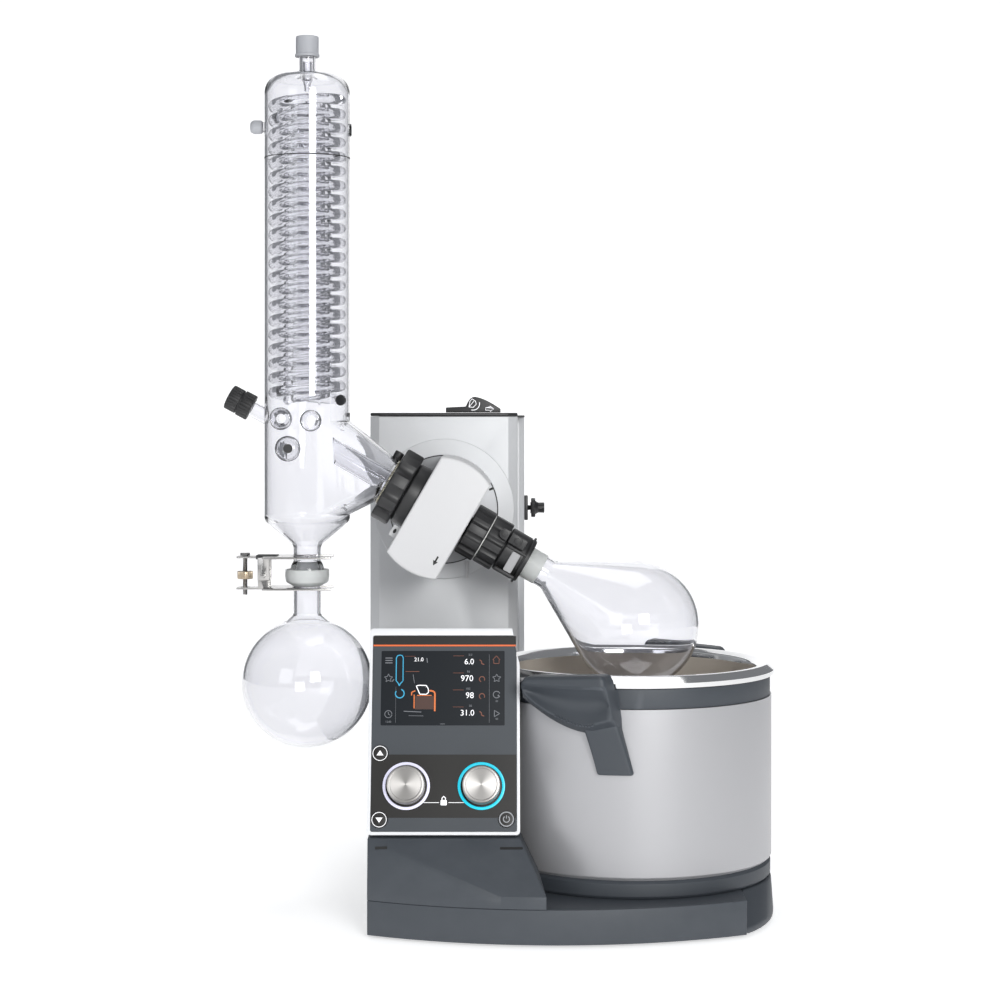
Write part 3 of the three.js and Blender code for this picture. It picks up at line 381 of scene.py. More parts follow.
# The disc face's light and dark fans are painted highlight and shade, set to its lit and its shaded
# sectors.
DISC = Finish("disc_turned_painted_sheen", "aluminium", (0.62, 0.63, 0.65), 0.46, 0.2, bump=0.1,
              pattern=Pattern.TURNED_WITH_PAINTED_SHEEN,
              sheen_phase=0.167, sheen_sharpness=0.45)
AMBER_GLASS = Finish("amber_flange", "clear_glass", (0.93, 0.88, 0.70), 0.12, bump=0.0, patch=0.0,
                     transmission=0.8, ior=1.46)
GREY = Finish("grey_cap", "grey_plastic", (0.44, 0.45, 0.48), 0.5, bump=0.15, wear=0.2)
PAD = Finish("release_pad", "grey_plastic", (0.40, 0.40, 0.41), 0.55, bump=0.5, grain_scale=1100)
GLASS = Finish("clear_borosilicate", "clear_glass", (0.93, 0.93, 0.95), 0.0, bump=0.0, patch=0.0,
               transmission=1.0, ior=1.47)
FROSTED = Finish("ground_glass", "clear_glass", (0.90, 0.92, 0.91), 0.5, bump=0.2, patch=0.05,
                 transmission=0.45, ior=1.46)
STEEL = Finish("bright_steel", "steel", (0.46, 0.45, 0.44), 0.22, 1.0, bump=0.05, patch=0.1,
               pattern=Pattern.BRUSHED)
BASIN = Finish("brushed_basin", "steel", (0.60, 0.55, 0.49), 0.42, 0.4, bump=0.12, patch=0.2,
               pattern=Pattern.BRUSHED, grain_scale=700)
SPUN = Finish("turned_aluminium", "aluminium", (0.74, 0.73, 0.71), 0.26, 1.0, bump=0.05, patch=0.1)
# The knob faces' light and dark fans are painted highlight and shade.
KNOB = Finish("turned_knob_painted_sheen", "aluminium", (0.62, 0.60, 0.58), 0.3, 0.5, bump=0.05,
              pattern=Pattern.TURNED_WITH_PAINTED_SHEEN)
LIP = Finish("polished_lip", "steel", (0.80, 0.80, 0.80), 0.1, 1.0, bump=0.02, patch=0.04)
BATH_SILVER = Finish("satin_silver_skin", "silver_paint", (0.46, 0.46, 0.475), 0.36, 0.45, bump=0.3,
                     grain_scale=1800)
# Grey print with a painted glow.
GREY_PRINT_PAINTED_GLOW = Finish("grey_print_painted_glow", "panel_dark", (0.30, 0.31, 0.33), 0.4, bump=0.0, glow=0.1)
BRASS = Finish("turned_brass", "brass", (0.50, 0.42, 0.32), 0.3, 1.0, bump=0.1)
RUBBER = Finish("foot_rubber", "rubber", (0.02, 0.02, 0.02), 0.85, bump=0.4)
PANEL = Finish("panel_grey_gloss", "panel_dark", (0.070, 0.078, 0.088), 0.4, bump=0.02, patch=0.05,
               shine=0.2)
SCREEN = Finish("screen_black", "panel_dark", (0.010, 0.013, 0.017), 0.3, bump=0.0, patch=0.03,
                shine=0.2)
CHARCOAL = Finish("panel_charcoal", "panel_dark", (0.024, 0.023, 0.022), 0.35, bump=0.02,
                  patch=0.05,
                  shine=0.25)
# The printed orange rule carries a painted glow.
ORANGE_PAINTED_GLOW = Finish("orange_line_painted_glow", "panel_dark", (0.72, 0.13, 0.02), 0.4, bump=0.0, glow=0.2)
# White figures and marks with a glow: screen light on the screen's figures and lines, a painted glow
# on the printed marks of the knob field, the buttons and the tilt lock.
INK_WHITE_SCREEN_AND_PAINTED_GLOW = Finish("white_print_screen_light_and_painted_glow", "panel_dark", (0.9, 0.9, 0.92), 0.4, bump=0.0, glow=0.4)
INK_DIM = Finish("dim_print", "panel_dark", (0.17, 0.18, 0.20), 0.4, bump=0.0, glow=0.1)
INK_CYAN = Finish("cyan_print", "panel_dark", (0.03, 0.34, 0.55), 0.4, bump=0.0, glow=0.35)
INK_AMBER = Finish("amber_print", "panel_dark", (0.62, 0.15, 0.03), 0.4, bump=0.0, glow=0.3)
INK_RUST = Finish("rust_print", "panel_dark", (0.20, 0.06, 0.03), 0.4, bump=0.0, glow=0.1)
INK_EMBER = Finish("ember_print", "panel_dark", (0.055, 0.018, 0.010), 0.4, bump=0.0, glow=0.05)
# Black print; the same black also paints shade at the disc's rim and over the cover's latch slots.
INK_BLACK_AND_PAINTED_SHADE = Finish("black_print_and_painted_shade", "black_plastic", (0.01, 0.01, 0.01), 0.5, bump=0.0)
CYAN = Finish("cyan_ring", "cyan_light", (0.0, 0.50, 0.66), 0.3, bump=0.0, glow=0.55)
LAVENDER = Finish("white_ring", "pale_paint", (0.78, 0.77, 0.95), 0.3, bump=0.0, glow=0.25)
BOARD = Finish("solder_resist", "board_green", (0.02, 0.12, 0.05), 0.4, bump=0.1)
SEAL = Finish("white_seal", "fluoropolymer", (0.85, 0.85, 0.82), 0.5, bump=0.05)


# ---- mesh making -----------------------------------------------------------------------
def fillet(points: Sequence[tuple], steps: int = 4) -> Profile:
    """Rounds the corners of an open line of points.

    Args:
        points: (u, v) or (u, v, radius) points; one with no radius stays sharp.
        steps: segments in each rounded corner.

    Returns:
        The line's points with its corners rounded.
    """
    line: Profile = []
    for index, point in enumerate(points):
        here = Vector(point[:2])
        radius = point[2] if len(point) > 2 else 0
        if not radius or index in (0, len(points) - 1):
            line.append(tuple(here))
            continue
        before = Vector(points[index - 1][:2]) - here
        after = Vector(points[index + 1][:2]) - here
        half = before.angle(after) / 2
        reach = min(radius / math.tan(half), 0.49 * before.length, 0.49 * after.length)
        start, end = here + before.normalized() * reach, here + after.normalized() * reach
        for step in range(steps + 1):
            t = step / steps
            line.append(tuple(start * (1 - t) ** 2 + here * 2 * t * (1 - t) + end * t ** 2))
    return line


def arc(centre: tuple[float, float], radius: float, start: float, end: float,
        steps: int) -> Profile:
    """Points on an arc, its angles in degrees."""
    turns = [math.radians(start + (end - start) * i / steps) for i in range(steps + 1)]
    return [(centre[0] + radius * math.cos(a), centre[1] + radius * math.sin(a)) for a in turns]


def lathe(profile: Profile, steps: int = 64, along_x: bool = False,
          closed: bool = False) -> bmesh.types.BMesh:
    """Spins a profile of (radius, height) points about an axis.

    Args:
        profile: the points, from one end of the line to the other.
        steps: segments in the full turn.
        along_x: spins about local X in place of local Z.
        closed: joins the line's last point to its first.

    Returns:
        The turned mesh.
    """
    bm = bmesh.new()
    points = [(h, 0, r) if along_x else (r, 0, h) for r, h in profile]
    verts = [bm.verts.new(p) for p in points]
    pairs = list(zip(verts, verts[1:]))
    if closed:
        pairs.append((verts[-1], verts[0]))
    edges = [bm.edges.new(pair) for pair in pairs]
    bmesh.ops.spin(bm, geom=verts + edges, cent=(0, 0, 0), axis=(1, 0, 0) if along_x else (0, 0, 1),
                   angle=FULL_TURN, steps=steps, use_merge=True)
    bmesh.ops.remove_doubles(bm, verts=bm.verts, dist=1e-4)
    bmesh.ops.recalc_face_normals(bm, faces=bm.faces)
    return bm


def slab(outline: Outline, depth: float, bevel: float = 0.0, segments: int = 3,
         turn: Optional[Matrix] = None) -> bmesh.types.BMesh:
    """Extrudes a flat outline upwards and rounds its rims.

    Args:
        outline: the outline's points in X and Y.
        depth: the thickness along Z.
        bevel: the width of the rounding on both rims.
        segments: segments in the rounding.
        turn: a matrix applied at the end.

    Returns:
        The solid mesh.
    """
    bm = bmesh.new()
    face = bm.faces.new([bm.verts.new((u, v, 0)) for u, v in outline])
    top = bmesh.ops.extrude_face_region(bm, geom=[face])["geom"]
    bmesh.ops.translate(bm, vec=(0, 0, depth),
                        verts=[g for g in top if isinstance(g, bmesh.types.BMVert)])
    bmesh.ops.recalc_face_normals(bm, faces=bm.faces)
    if bevel:
        rims = [e for e in bm.edges if abs(e.verts[0].co.z - e.verts[1].co.z) < 1e-6]
        round_edges(bm, rims, bevel, segments)
    if turn is not None:
        bmesh.ops.transform(bm, matrix=turn, verts=bm.verts)
    return bm


def round_edges(bm: bmesh.types.BMesh, edges: list, width: float, segments: int = 3) -> None:
    """Bevels edges to a round."""
    bmesh.ops.bevel(bm, geom=edges, offset=width, offset_type="OFFSET", affect="EDGES",
                    segments=segments, profile=0.5, material=-1, clamp_overlap=True)


def sharp_edges(bm: bmesh.types.BMesh, degrees: float = 30) -> list:
    """The edges whose faces meet at more than an angle."""
    limit = math.radians(degrees)
    return [e for e in bm.edges if len(e.link_faces) == 2 and e.calc_face_angle(0) > limit]


def block(low: Sequence[float], high: Sequence[float], bevel: float = 0.0,
          segments: int = 3) -> bmesh.types.BMesh:
    """A box between two corners with its edges rounded.

    Args:
        low: the lowest corner.
        high: the highest corner.
        bevel: the width of the rounded edges, or 0.
        segments: the steps of each rounded edge.

    Returns:
        The block as a mesh.
    """
    bm = bmesh.new()
    bmesh.ops.create_cube(bm, size=1)
    size = Vector(high) - Vector(low)
    bmesh.ops.scale(bm, vec=size, verts=bm.verts)
    bmesh.ops.translate(bm, vec=(Vector(low) + Vector(high)) / 2, verts=bm.verts)
    if bevel:
        round_edges(bm, list(bm.edges), bevel, segments)
    return bm


def merged(*meshes: bmesh.types.BMesh) -> bmesh.types.BMesh:
    """Puts several meshes into the first one.

    Args:
        *meshes: the meshes to join; all but the first are freed.

    Returns:
        The first mesh, with the faces of all.
    """
    first = meshes[0]
    for other in meshes[1:]:
        data = bpy.data.meshes.new("part")
        other.to_mesh(data)
        other.free()
        first.from_mesh(data)
        bpy.data.meshes.remove(data)
    return first


def moved(bm: bmesh.types.BMesh, matrix: Matrix) -> bmesh.types.BMesh:
    """The same mesh, placed by a matrix."""
    bmesh.ops.transform(bm, matrix=matrix, verts=bm.verts)
    return bm


def place(bm: bmesh.types.BMesh, name: str, finish: Finish, body: str, matrix: Matrix = WORLD_MM,
          stands_for: Sequence[str] = (), smooth: float = 32) -> bpy.types.Object:
    """Turns a mesh into a finished piece that rides on a body.

    Args:
        bm: the mesh, in local millimetres.
        name: the piece's name.
        finish: what it is made of.
        body: the CAD body that it moves with.
        matrix: from local millimetres to the frame.
        stands_for: the CAD nodes that it is shown in place of.
        smooth: edges sharper than this many degrees stay crisp.

    Returns:
        The new object.
    """
    bmesh.ops.transform(bm, matrix=matrix, verts=bm.verts)
    data = bpy.data.meshes.new(name)
    bm.to_mesh(data)
    bm.free()
    data.shade_smooth()
    data.set_sharp_from_angle(angle=math.radians(smooth))
    data.materials.append(finish.material())
    piece = bpy.data.objects.new(name, data)
    bpy.context.collection.objects.link(piece)
    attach(piece, body)
    if stands_for:
        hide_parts(*stands_for)
    LOG.info("%s: %d faces", name, len(data.polygons))
    return piece


def cad_copy(node: str) -> bmesh.types.BMesh:
    """A CAD node's mesh in millimetres, its loose triangles merged into flat faces.

    Args:
        node: the CAD node to copy.

    Returns:
        The copy, in millimetres.
    """
    bm = bmesh.new()
    bm.from_mesh(frame["nodes"][node].data)
    bmesh.ops.scale(bm, vec=(1 / MM,) * 3, verts=bm.verts)
    bmesh.ops.remove_doubles(bm, verts=bm.verts, dist=0.002)
    bmesh.ops.dissolve_limit(bm, angle_limit=math.radians(0.5), verts=bm.verts, edges=bm.edges)
    return bm


def softened(node: str, finish: Finish, body: str, width: float = 0.8, segments: int = 3) -> None:
    """Shows a CAD node by a copy whose sharp edges are rounded.

    Args:
        node: the CAD node to copy.
        finish: its finish.
        body: the body that it rides on.
        width: the width of the rounded edges, in millimetres.
        segments: the steps of each rounded edge.
    """
    bm = cad_copy(node)
    round_edges(bm, sharp_edges(bm, 28), width, segments)
    place(bm, f"{node}_shown", finish, body, stands_for=[node])


def rod(start: Sequence[float], end: Sequence[float], radius: float, sides: int = 24,
        bevel: float = 0.0) -> bmesh.types.BMesh:
    """A round bar between two points, its rims rounded.

    Args:
        start: the middle of one end.
        end: the middle of the other end.
        radius: the radius.
        sides: the number of sides.
        bevel: the width of the rounded rims, or 0.

    Returns:
        The rod as a mesh.
    """
    a, b = Vector(start), Vector(end)
    bm = bmesh.new()
    bmesh.ops.create_cone(bm, cap_ends=True, segments=sides, radius1=radius, radius2=radius,
                          depth=(b - a).length)
    if bevel:
        round_edges(bm, sharp_edges(bm, 60), bevel, 2)
    turn = (b - a).to_track_quat("Z", "Y").to_matrix().to_4x4()
    return moved(bm, Matrix.Translation((a + b) / 2) @ turn)


def grip_ring(radius: float, bore: float, start: float, end: float, lobes: int, depth: float,
              flat: float = 0.5, bevel: float = 1.0) -> bmesh.types.BMesh:
    """A ring along local X with grip hollows round it.

    Args:
        radius: the outside of the ridges.
        bore: the radius of the hole.
        start: where it begins along X.
        end: where it ends along X.
        lobes: the number of ridges.
        depth: how deep the hollows are.
        flat: the share of each pitch that is ridge.
        bevel: the rounding of the rims.

    Returns:
        The ring's mesh.
    """
    per = 10
    count = lobes * per
    outline = []
    for i in range(count):
        share = (i % per) / per
        hollow = 0.0 if share < flat else math.sin(math.pi * (share - flat) / (1 - flat)) ** 0.6
        reach = radius - depth * hollow
        outline.append((reach * math.cos(FULL_TURN * i / count),
                        reach * math.sin(FULL_TURN * i / count)))
    bm = bmesh.new()
    loops = []
    for x in (start, end):
        loops.append([bm.verts.new((x, u, v)) for u, v in outline])
        loops.append([bm.verts.new((x, bore * math.cos(FULL_TURN * i / count),
                                    bore * math.sin(FULL_TURN * i / count))) for i in range(count)])
    edges = []
    for loop in loops:
        edges.append([bm.edges.new((loop[i], loop[(i + 1) % count])) for i in range(count)])
    for a, b in ((0, 1), (0, 2), (2, 3), (1, 3)):
        bmesh.ops.bridge_loops(bm, edges=edges[a] + edges[b])
    bmesh.ops.recalc_face_normals(bm, faces=bm.faces)
    round_edges(bm, edges[0] + edges[2], bevel, 3)
    return bm


def lettering(text: str, size: float, depth: float = 0.12) -> bmesh.types.BMesh:
    """Raised generic characters in local X and Z, facing local -Y, centred on the origin.

    Args:
        text: the digits to draw.
        size: their height.
        depth: their thickness.

    Returns:
        The digits as a mesh.
    """
    curve = bpy.data.curves.new("figures", "FONT")
    curve.body = text
    curve.size = size
    curve.align_x = "CENTER"
    curve.align_y = "CENTER"
    curve.extrude = depth / 2
    curve.resolution_u = 3
    holder = bpy.data.objects.new("figures", curve)
    bm = bmesh.new()
    bm.from_mesh(holder.to_mesh())
    holder.to_mesh_clear()
    bpy.data.objects.remove(holder)
    bpy.data.curves.remove(curve)
    bmesh.ops.remove_doubles(bm, verts=bm.verts, dist=1e-5)
    return moved(bm, Matrix.Rotation(math.pi / 2, 4, "X"))


def facing(outline: Outline, thickness: float, front: float,
           bevel: float = 0.0) -> bmesh.types.BMesh:
    """A thin plate in local X and Z whose face towards -Y lies at a given Y."""
    turn = Matrix.Translation((0, front + thickness, 0)) @ Matrix.Rotation(math.pi / 2, 4, "X")
    return slab(outline, thickness, bevel, 2, turn)


def rectangle(x0: float, x1: float, z0: float, z1: float, radius: float = 0.0,
              steps: int = 4) -> Outline:
    """A rectangle's outline, with round corners if a radius is given.

    Args:
        x0: the left side.
        x1: the right side.
        z0: the bottom.
        z1: the top.
        radius: the corner radius, or 0.
        steps: the steps of each rounded corner.

    Returns:
        The closed outline.
    """
    if not radius:
        return [(x0, z0), (x1, z0), (x1, z1), (x0, z1)]
    corners = ((x1 - radius, z0 + radius, -90), (x1 - radius, z1 - radius, 0),
               (x0 + radius, z1 - radius, 90), (x0 + radius, z0 + radius, 180))
    return [p for x, z, a in corners for p in arc((x, z), radius, a, a + 90, steps)]


def circle(radius: float, steps: int = 32, centre: tuple[float, float] = (0, 0)) -> Outline:
    """A circle's outline."""
    return arc(centre, radius, 0, 360 * (steps - 1) / steps, steps - 1)


def fan_map(bm: bmesh.types.BMesh) -> None:
    """Lays a UV map whose U is the share of a turn about local Y and V the radius.

    Args:
        bm: the mesh, turned about local Y.
    """
    layer = bm.loops.layers.uv.new("fan")
    for face in bm.faces:
        base = math.atan2(face.calc_center_median().z, face.calc_center_median().x)
        for loop in face.loops:
            x, z = loop.vert.co.x, loop.vert.co.z
            turn = math.atan2(z, x) if x * x + z * z > 1e-4 else base
            turn += FULL_TURN * round((base - turn) / FULL_TURN)
            loop[layer].uv = (turn / FULL_TURN, math.hypot(x, z) / 20)


def ring_plate(outer: float, inner: float, front: float, back: float, steps: int = 64,
               bevel: float = 0.4) -> bmesh.types.BMesh:
    """A flat ring about local Y between two depths.

    Args:
        outer: the outer radius.
        inner: the inner radius.
        front: the depth of the front face.
        back: the depth of the back face.
        steps: the number of sides.
        bevel: the width of the rounded rims, or 0.

    Returns:
        The ring as a mesh.
    """
    profile = fillet([(inner, back), (inner, front, bevel), (outer, front, bevel), (outer, back)],
                     3)
    bm = lathe(profile, steps, closed=True)
    return moved(bm, Matrix.Rotation(-math.pi / 2, 4, "X"))


def combined(base: bmesh.types.BMesh, tools: Sequence[bmesh.types.BMesh],
             operation: str) -> bmesh.types.BMesh:
    """Joins solids to a solid, or cuts them from it.

    Args:
        base: the solid that is worked on; it is used up.
        tools: the other solids; they are used up.
        operation: a Boolean modifier's operation, such as UNION or DIFFERENCE.

    Returns:
        The resulting solid.
    """
    def holder(bm: bmesh.types.BMesh) -> bpy.types.Object:
        """A linked object that holds the mesh.

        Args:
            bm: the mesh to hold, which is used up.

        Returns:
            A scene object for the boolean.
        """
        data = bpy.data.meshes.new("working")
        bm.to_mesh(data)
        bm.free()
        made = bpy.data.objects.new("working", data)
        bpy.context.collection.objects.link(made)
        return made

    body = holder(base)
    cutters = [holder(tool) for tool in tools]
    for cutter in cutters:
        modifier = body.modifiers.new("join", "BOOLEAN")
        modifier.operation = operation
        modifier.solver = "EXACT"
        modifier.object = cutter
    result = bpy.data.meshes.new_from_object(body.evaluated_get(bpy.context.evaluated_depsgraph_get()))
    bm = bmesh.new()
    bm.from_mesh(result)
    bpy.data.meshes.remove(result)
    for used in (body, *cutters):
        data = used.data
        bpy.data.objects.remove(used)
        bpy.data.meshes.remove(data)
    bmesh.ops.remove_doubles(bm, verts=bm.verts, dist=1e-4)
    bmesh.ops.recalc_face_normals(bm, faces=bm.faces)
    return bm


def hull_of(*parts: bmesh.types.BMesh) -> bmesh.types.BMesh:
    """The convex solid round several shapes, which are used up.

    Args:
        *parts: the shapes to wrap.

    Returns:
        The convex solid as a mesh.
    """
    bm = merged(*parts)
    bmesh.ops.delete(bm, geom=list(bm.edges), context="EDGES_FACES")
    bmesh.ops.convex_hull(bm, input=list(bm.verts))
    bmesh.ops.delete(bm, geom=[v for v in bm.verts if not v.link_faces], context="VERTS")
    bmesh.ops.recalc_face_normals(bm, faces=bm.faces)
    return bm


def dressed(node: str, finish: Finish) -> None:
    """Shows a CAD node as it is, in a finish.

    Args:
        node: the CAD node that keeps its own shape.
        finish: the finish that it gets.
    """
    data = frame["nodes"][node].data
    data.materials.clear()
    data.materials.append(finish.material())


# ---- sub-assemblies --------------------------------------------------------------------
@dataclass
class Bench:
    """The low base with its feet and power inlet."""

    rim: float = 1.8
    foot_rim: float = 0.8
    pin: tuple[float, float, float] = (1.6, 4.0, 5.5)

    def build(self) -> None:
        """Makes the base's pieces."""
        softened("base_plate", SLATE, "base", self.rim)
        softened("base_apron", SLATE, "base", self.rim)
        for place_name in ("front_left", "front_right", "rear_left", "rear_right"):
            softened(f"foot_{place_name}", RUBBER, "base", self.foot_rim, 2)
        softened("power_inlet", BLACK, "base", 0.9)
        self._pins()

    def _pins(self) -> None:
        """Three flat blades in the inlet's well."""
        _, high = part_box("power_inlet")
        centre = middle("power_inlet") / MM
        back = high[1] / MM
        blades = [block((centre.x + dx - self.pin[0] / 2, back - 5,
                         centre.z + dz - self.pin[1] / 2),
                        (centre.x + dx + self.pin[0] / 2, back - 5 + self.pin[2] - 1.2,
                         centre.z + dz + self.pin[1] / 2), 0.3, 2)
                  for dx, dz in ((-7, -2), (0, 2.4), (7, -2))]
        place(merged(*blades), "inlet_pins", STEEL, "base")


@dataclass
class Tower:
    """The mast, the lift inside it, and the carriage cover that slides on it."""


    def build(self) -> None:
        """Makes the tower's pieces."""
        softened("mast", SILVER, "base", 1.0)
        softened("carriage_cover", SILVER, "carriage", 0.7)
        softened("carriage_cap", BLACK, "carriage", 1.2)
        for node, finish in (("guide_rod_left", STEEL), ("guide_rod_right", STEEL),
                             ("lead_screw", STEEL),
                             ("lift_motor", BLACK), ("lift_block", SPUN)):
            dressed(node, finish)
        softened("stop_block", BLACK, "stop_block", 0.8)
        self._stop_knob()
        softened("tilt_lock_slider", BLACK, "tilt_lock", 0.8)
        self._slider_print()

    def _stop_knob(self) -> None:
        """The height stop's star knob on its threaded stem."""
        low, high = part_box("stop_knob")
        centre = middle("stop_knob") / MM
        start, end = low[0] / MM, high[0] / MM
        thread = []
        for turn in range(int((end - start - 16) / 1.0)):
            thread += [(3.0, start + turn), (2.5, start + turn + 0.5)]
        profile = fillet([(0, start), *thread, (3, end - 16), (6.6, end - 16, 0.6), (6.6, end - 15),
                          (8.2, end - 14, 1.5), (8.2, end - 11, 2), (5.8, end - 7, 3),
                          (6.0, end, 0.7),
                          (0, end)], 4)
        star = grip_ring(11.2, 3.0, end - 15.2, end - 10.4, 6, 1.0, 0.35, 1.1)
        bm = moved(merged(lathe(profile, 40, True), star),
                   Matrix.Translation((0, centre.y, centre.z)))
        place(bm, "stop_star", BLACK, "stop_knob", stands_for=["stop_knob"])
        low, high = (Vector(corner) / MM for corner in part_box("mast"))
        strip = block((low.x + 0.4, low.y + 0.4, high.z), (high.x - 0.4, high.y - 4, high.z + 2.2),
                      0.9)
        place(strip, "mast_cap", BLACK, "base")

    def _slider_print(self) -> None:
        """White outlined marks on the front of the tilt lock."""
        low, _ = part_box("tilt_lock_slider")
        front = low[1] / MM
        left, base = low[0] / MM, low[2] / MM
        drop = [(-3.6, -4.6), (-2.6, 1.4), (-0.4, 4.2), (3.4, 1.6), (4.2, -1.6), (1.0, -5.0),
                (-3.6, -4.6)]
        arrow = [(-4, -1.4), (0.6, -1.4), (0.6, -3.2), (4.6, 0), (0.6, 3.2), (0.6, 1.4), (-4, 1.4),
                 (-4, -1.4)]
        pieces = [band_outline(arc((0, 0), 7.0, -105, 12, 14), 0.8, (29.4, 9.6)),
                  band_outline(arrow, 0.55, (47.0, 3.9)), band_outline(drop, 0.7, (28.6, 10.6)),
                  band_outline([(-3.4, -4.4), (1.6, 1.6)], 0.6, (28.6, 10.6))]
        plates = [facing([(left + u, base + w) for u, w in outline], 0.3,
                         front - 0.15) for outline in pieces]
        # The white marks carry a painted glow.
        place(merged(*plates), "slider_print", INK_WHITE_SCREEN_AND_PAINTED_GLOW, "tilt_lock")


def band_outline(line: Outline, width: float, shift: tuple[float, float] = (0, 0)) -> Outline:
    """The outline of a stroke of some width along a line, moved by a shift.

    Args:
        line: the middle line of the stroke.
        width: how wide the stroke is.
        shift: how far it is moved along each axis.

    Returns:
        The closed outline of the stroke.
    """
    points = [Vector(p) for p in line]
    sides: tuple[list, list] = ([], [])
    for i, here in enumerate(points):
        before, after = points[max(i - 1, 0)], points[min(i + 1, len(points) - 1)]
        along = (after - before)
        if along.length < 1e-6:
            along = here - before
        across = Vector((-along.y, along.x)).normalized() * width / 2
        sides[0].append(here + across)
        sides[1].append(here - across)
    ring = sides[0] + sides[1][::-1]
    return [(p.x + shift[0], p.y + shift[1]) for p in ring]


@dataclass
class DriveHead:
    """The tilting head: disc, scale, housing, seals and union nut."""

    disc: float = 58.2
    lower: float = 66.2
    half_length: float = 28.75
    front: float = -42.0
    back: float = 79.4
    bore: float = 26.0
    nut_radius: float = 40.0
    nut_lobes: int = 9

    def build(self) -> None:
        """Makes the head's pieces."""
        self._housing()
        self._disc()
        self._scale()
        collar = fillet([(22, -43.1), (31.5, -43.1, 1), (33.3, -41, 1), (33.3, -29.05, 0.6),
                         (22, -29.05)],
                        3)
        place(lathe(collar, 72, True, True), "collar", BLACK, "head", HEAD, ["seal_collar"])
        nut = grip_ring(self.nut_radius, 24.6, -62.5, -43.4, self.nut_lobes, 4.6, 0.42, 2.2)
        place(nut, "union_grip", BLACK, "union_nut", HEAD, ["union_nut"])
        rim = fillet([(20, -64.6), (25.8, -64.6, 0.8), (25.8, -62.6, 0.8), (20, -62.6)], 3)
        place(lathe(rim, 64, True, True), "flange_rim", AMBER_GLASS, "head", HEAD)
        self._small_parts()
        for node, finish in (("vacuum_seal", SEAL), ("rotor_bearing", STEEL), ("drive_hub", STEEL),
                             ("drive_motor", BLACK)):
            dressed(node, finish)

    def _housing(self) -> None:
        """The band-shaped housing with its bore."""
        x = self.half_length
        up, down = math.degrees(math.acos(x / self.disc)), math.degrees(math.acos(x / self.lower))
        outline = arc((0, 0), self.disc, up, 180 - up, 28) + arc((0, 0), self.lower, 180 + down,
                                                                 360 - down,
                                                                 28)
        turn = Matrix.Translation((0, self.back, 0)) @ Matrix.Rotation(math.pi / 2, 4, "X")
        housing = slab(outline, self.back - self.front, 0, 1, turn)
        rims = [e for e in sharp_edges(housing,
                                       40) if all(v.co.y < self.front + 1 for v in e.verts)]
        round_edges(housing, rims, 2.4, 4)
        rod_bore = rod((-40, 0, 0), (40, 0, 0), self.bore, 64)
        motor_bore = rod((-23, 54, 0), (40, 54, 0), 16, 40)
        slot = block((10, 20, -9), (22, 54, 9))
        place(combined(housing, [rod_bore, motor_bore, slot], "DIFFERENCE"), "head_housing",
              HEAD_WHITE,
              "head", HEAD, ["drive_head"], 28)

    def _small_parts(self) -> None:
        """The bleed cap on the branch, the printed arrow and the index tab."""
        cap = lathe(fillet([(0, 21), (3.4, 21), (3.4, 24.5, 0.4), (4.9, 24.5, 0.4), (4.9, 32.4, 1),
                            (0, 32.8)], 3), 32)
        place(moved(cap, Matrix.Translation((-68.4, 6, 0))), "bleed_cap", BLACK, "head", HEAD)
        arrow = [(18, -38), (18, -43.4), (16.2, -43.4), (18.9, -48.4), (21.6, -43.4), (19.8, -43.4),
                 (19.8, -38)]
        place(facing(arrow[::-1], 0.3, self.front - 0.12), "turn_arrow", INK_BLACK_AND_PAINTED_SHADE, "head", HEAD)
        tab = facing(rectangle(-36.2, -27, -46, -33.6, 1.2), 2.2, -14, 0.5)
        place(tab, "index_tab", HEAD_WHITE, "head", HEAD)
        oval = [(u * 0.6 - 32.4, w - 39.6) for u, w in arc((0, 0), 2.6, 0, 345, 23)]
        place(facing(oval, 0.3, -14.15), "index_print", INK_BLACK_AND_PAINTED_SHADE, "head", HEAD)

    def _disc(self) -> None:
        """The disc behind the housing, its face painted with light and dark sheen fans, with a black
        ring painted as the shade at its rim, and its shaft.
        """
        profile = fillet([(0, 79.7), (56.6, 79.7), (56.6, 80.3), (57.2, 80.3), (57.2, 79.7),
                          (58.2, 79.7, 0.4),
                          (58.2, 91.7, 0.6), (12, 91.7), (12, 132), (0, 132)], 3)
        turn = Matrix.Rotation(-math.pi / 2, 4, "X")
        face = moved(lathe(profile, 128), turn)
        # The fan map lays out the disc face's painted highlight and shade fans.
        fan_map(face)
        place(face, "tilt_face", DISC, "head", HEAD, ["tilt_disc"])
        # A black ring over the disc's outer rim: painted shade where the rim's edge looks dark.
        place(ring_plate(58.0, 57.0, 79.5, 79.9, 128, 0.0), "disc_rim_painted_shade", INK_BLACK_AND_PAINTED_SHADE, "head", HEAD)
        tick = [(p[0], p[1]) for p in arc((0, 0), 57.6, 52, 54.5, 3) + arc((0, 0), 52.6, 54.5, 52,
                                                                           3)]
        place(facing(tick, 0.4, 79.5), "disc_tick", INK_BLACK_AND_PAINTED_SHADE, "head", HEAD)

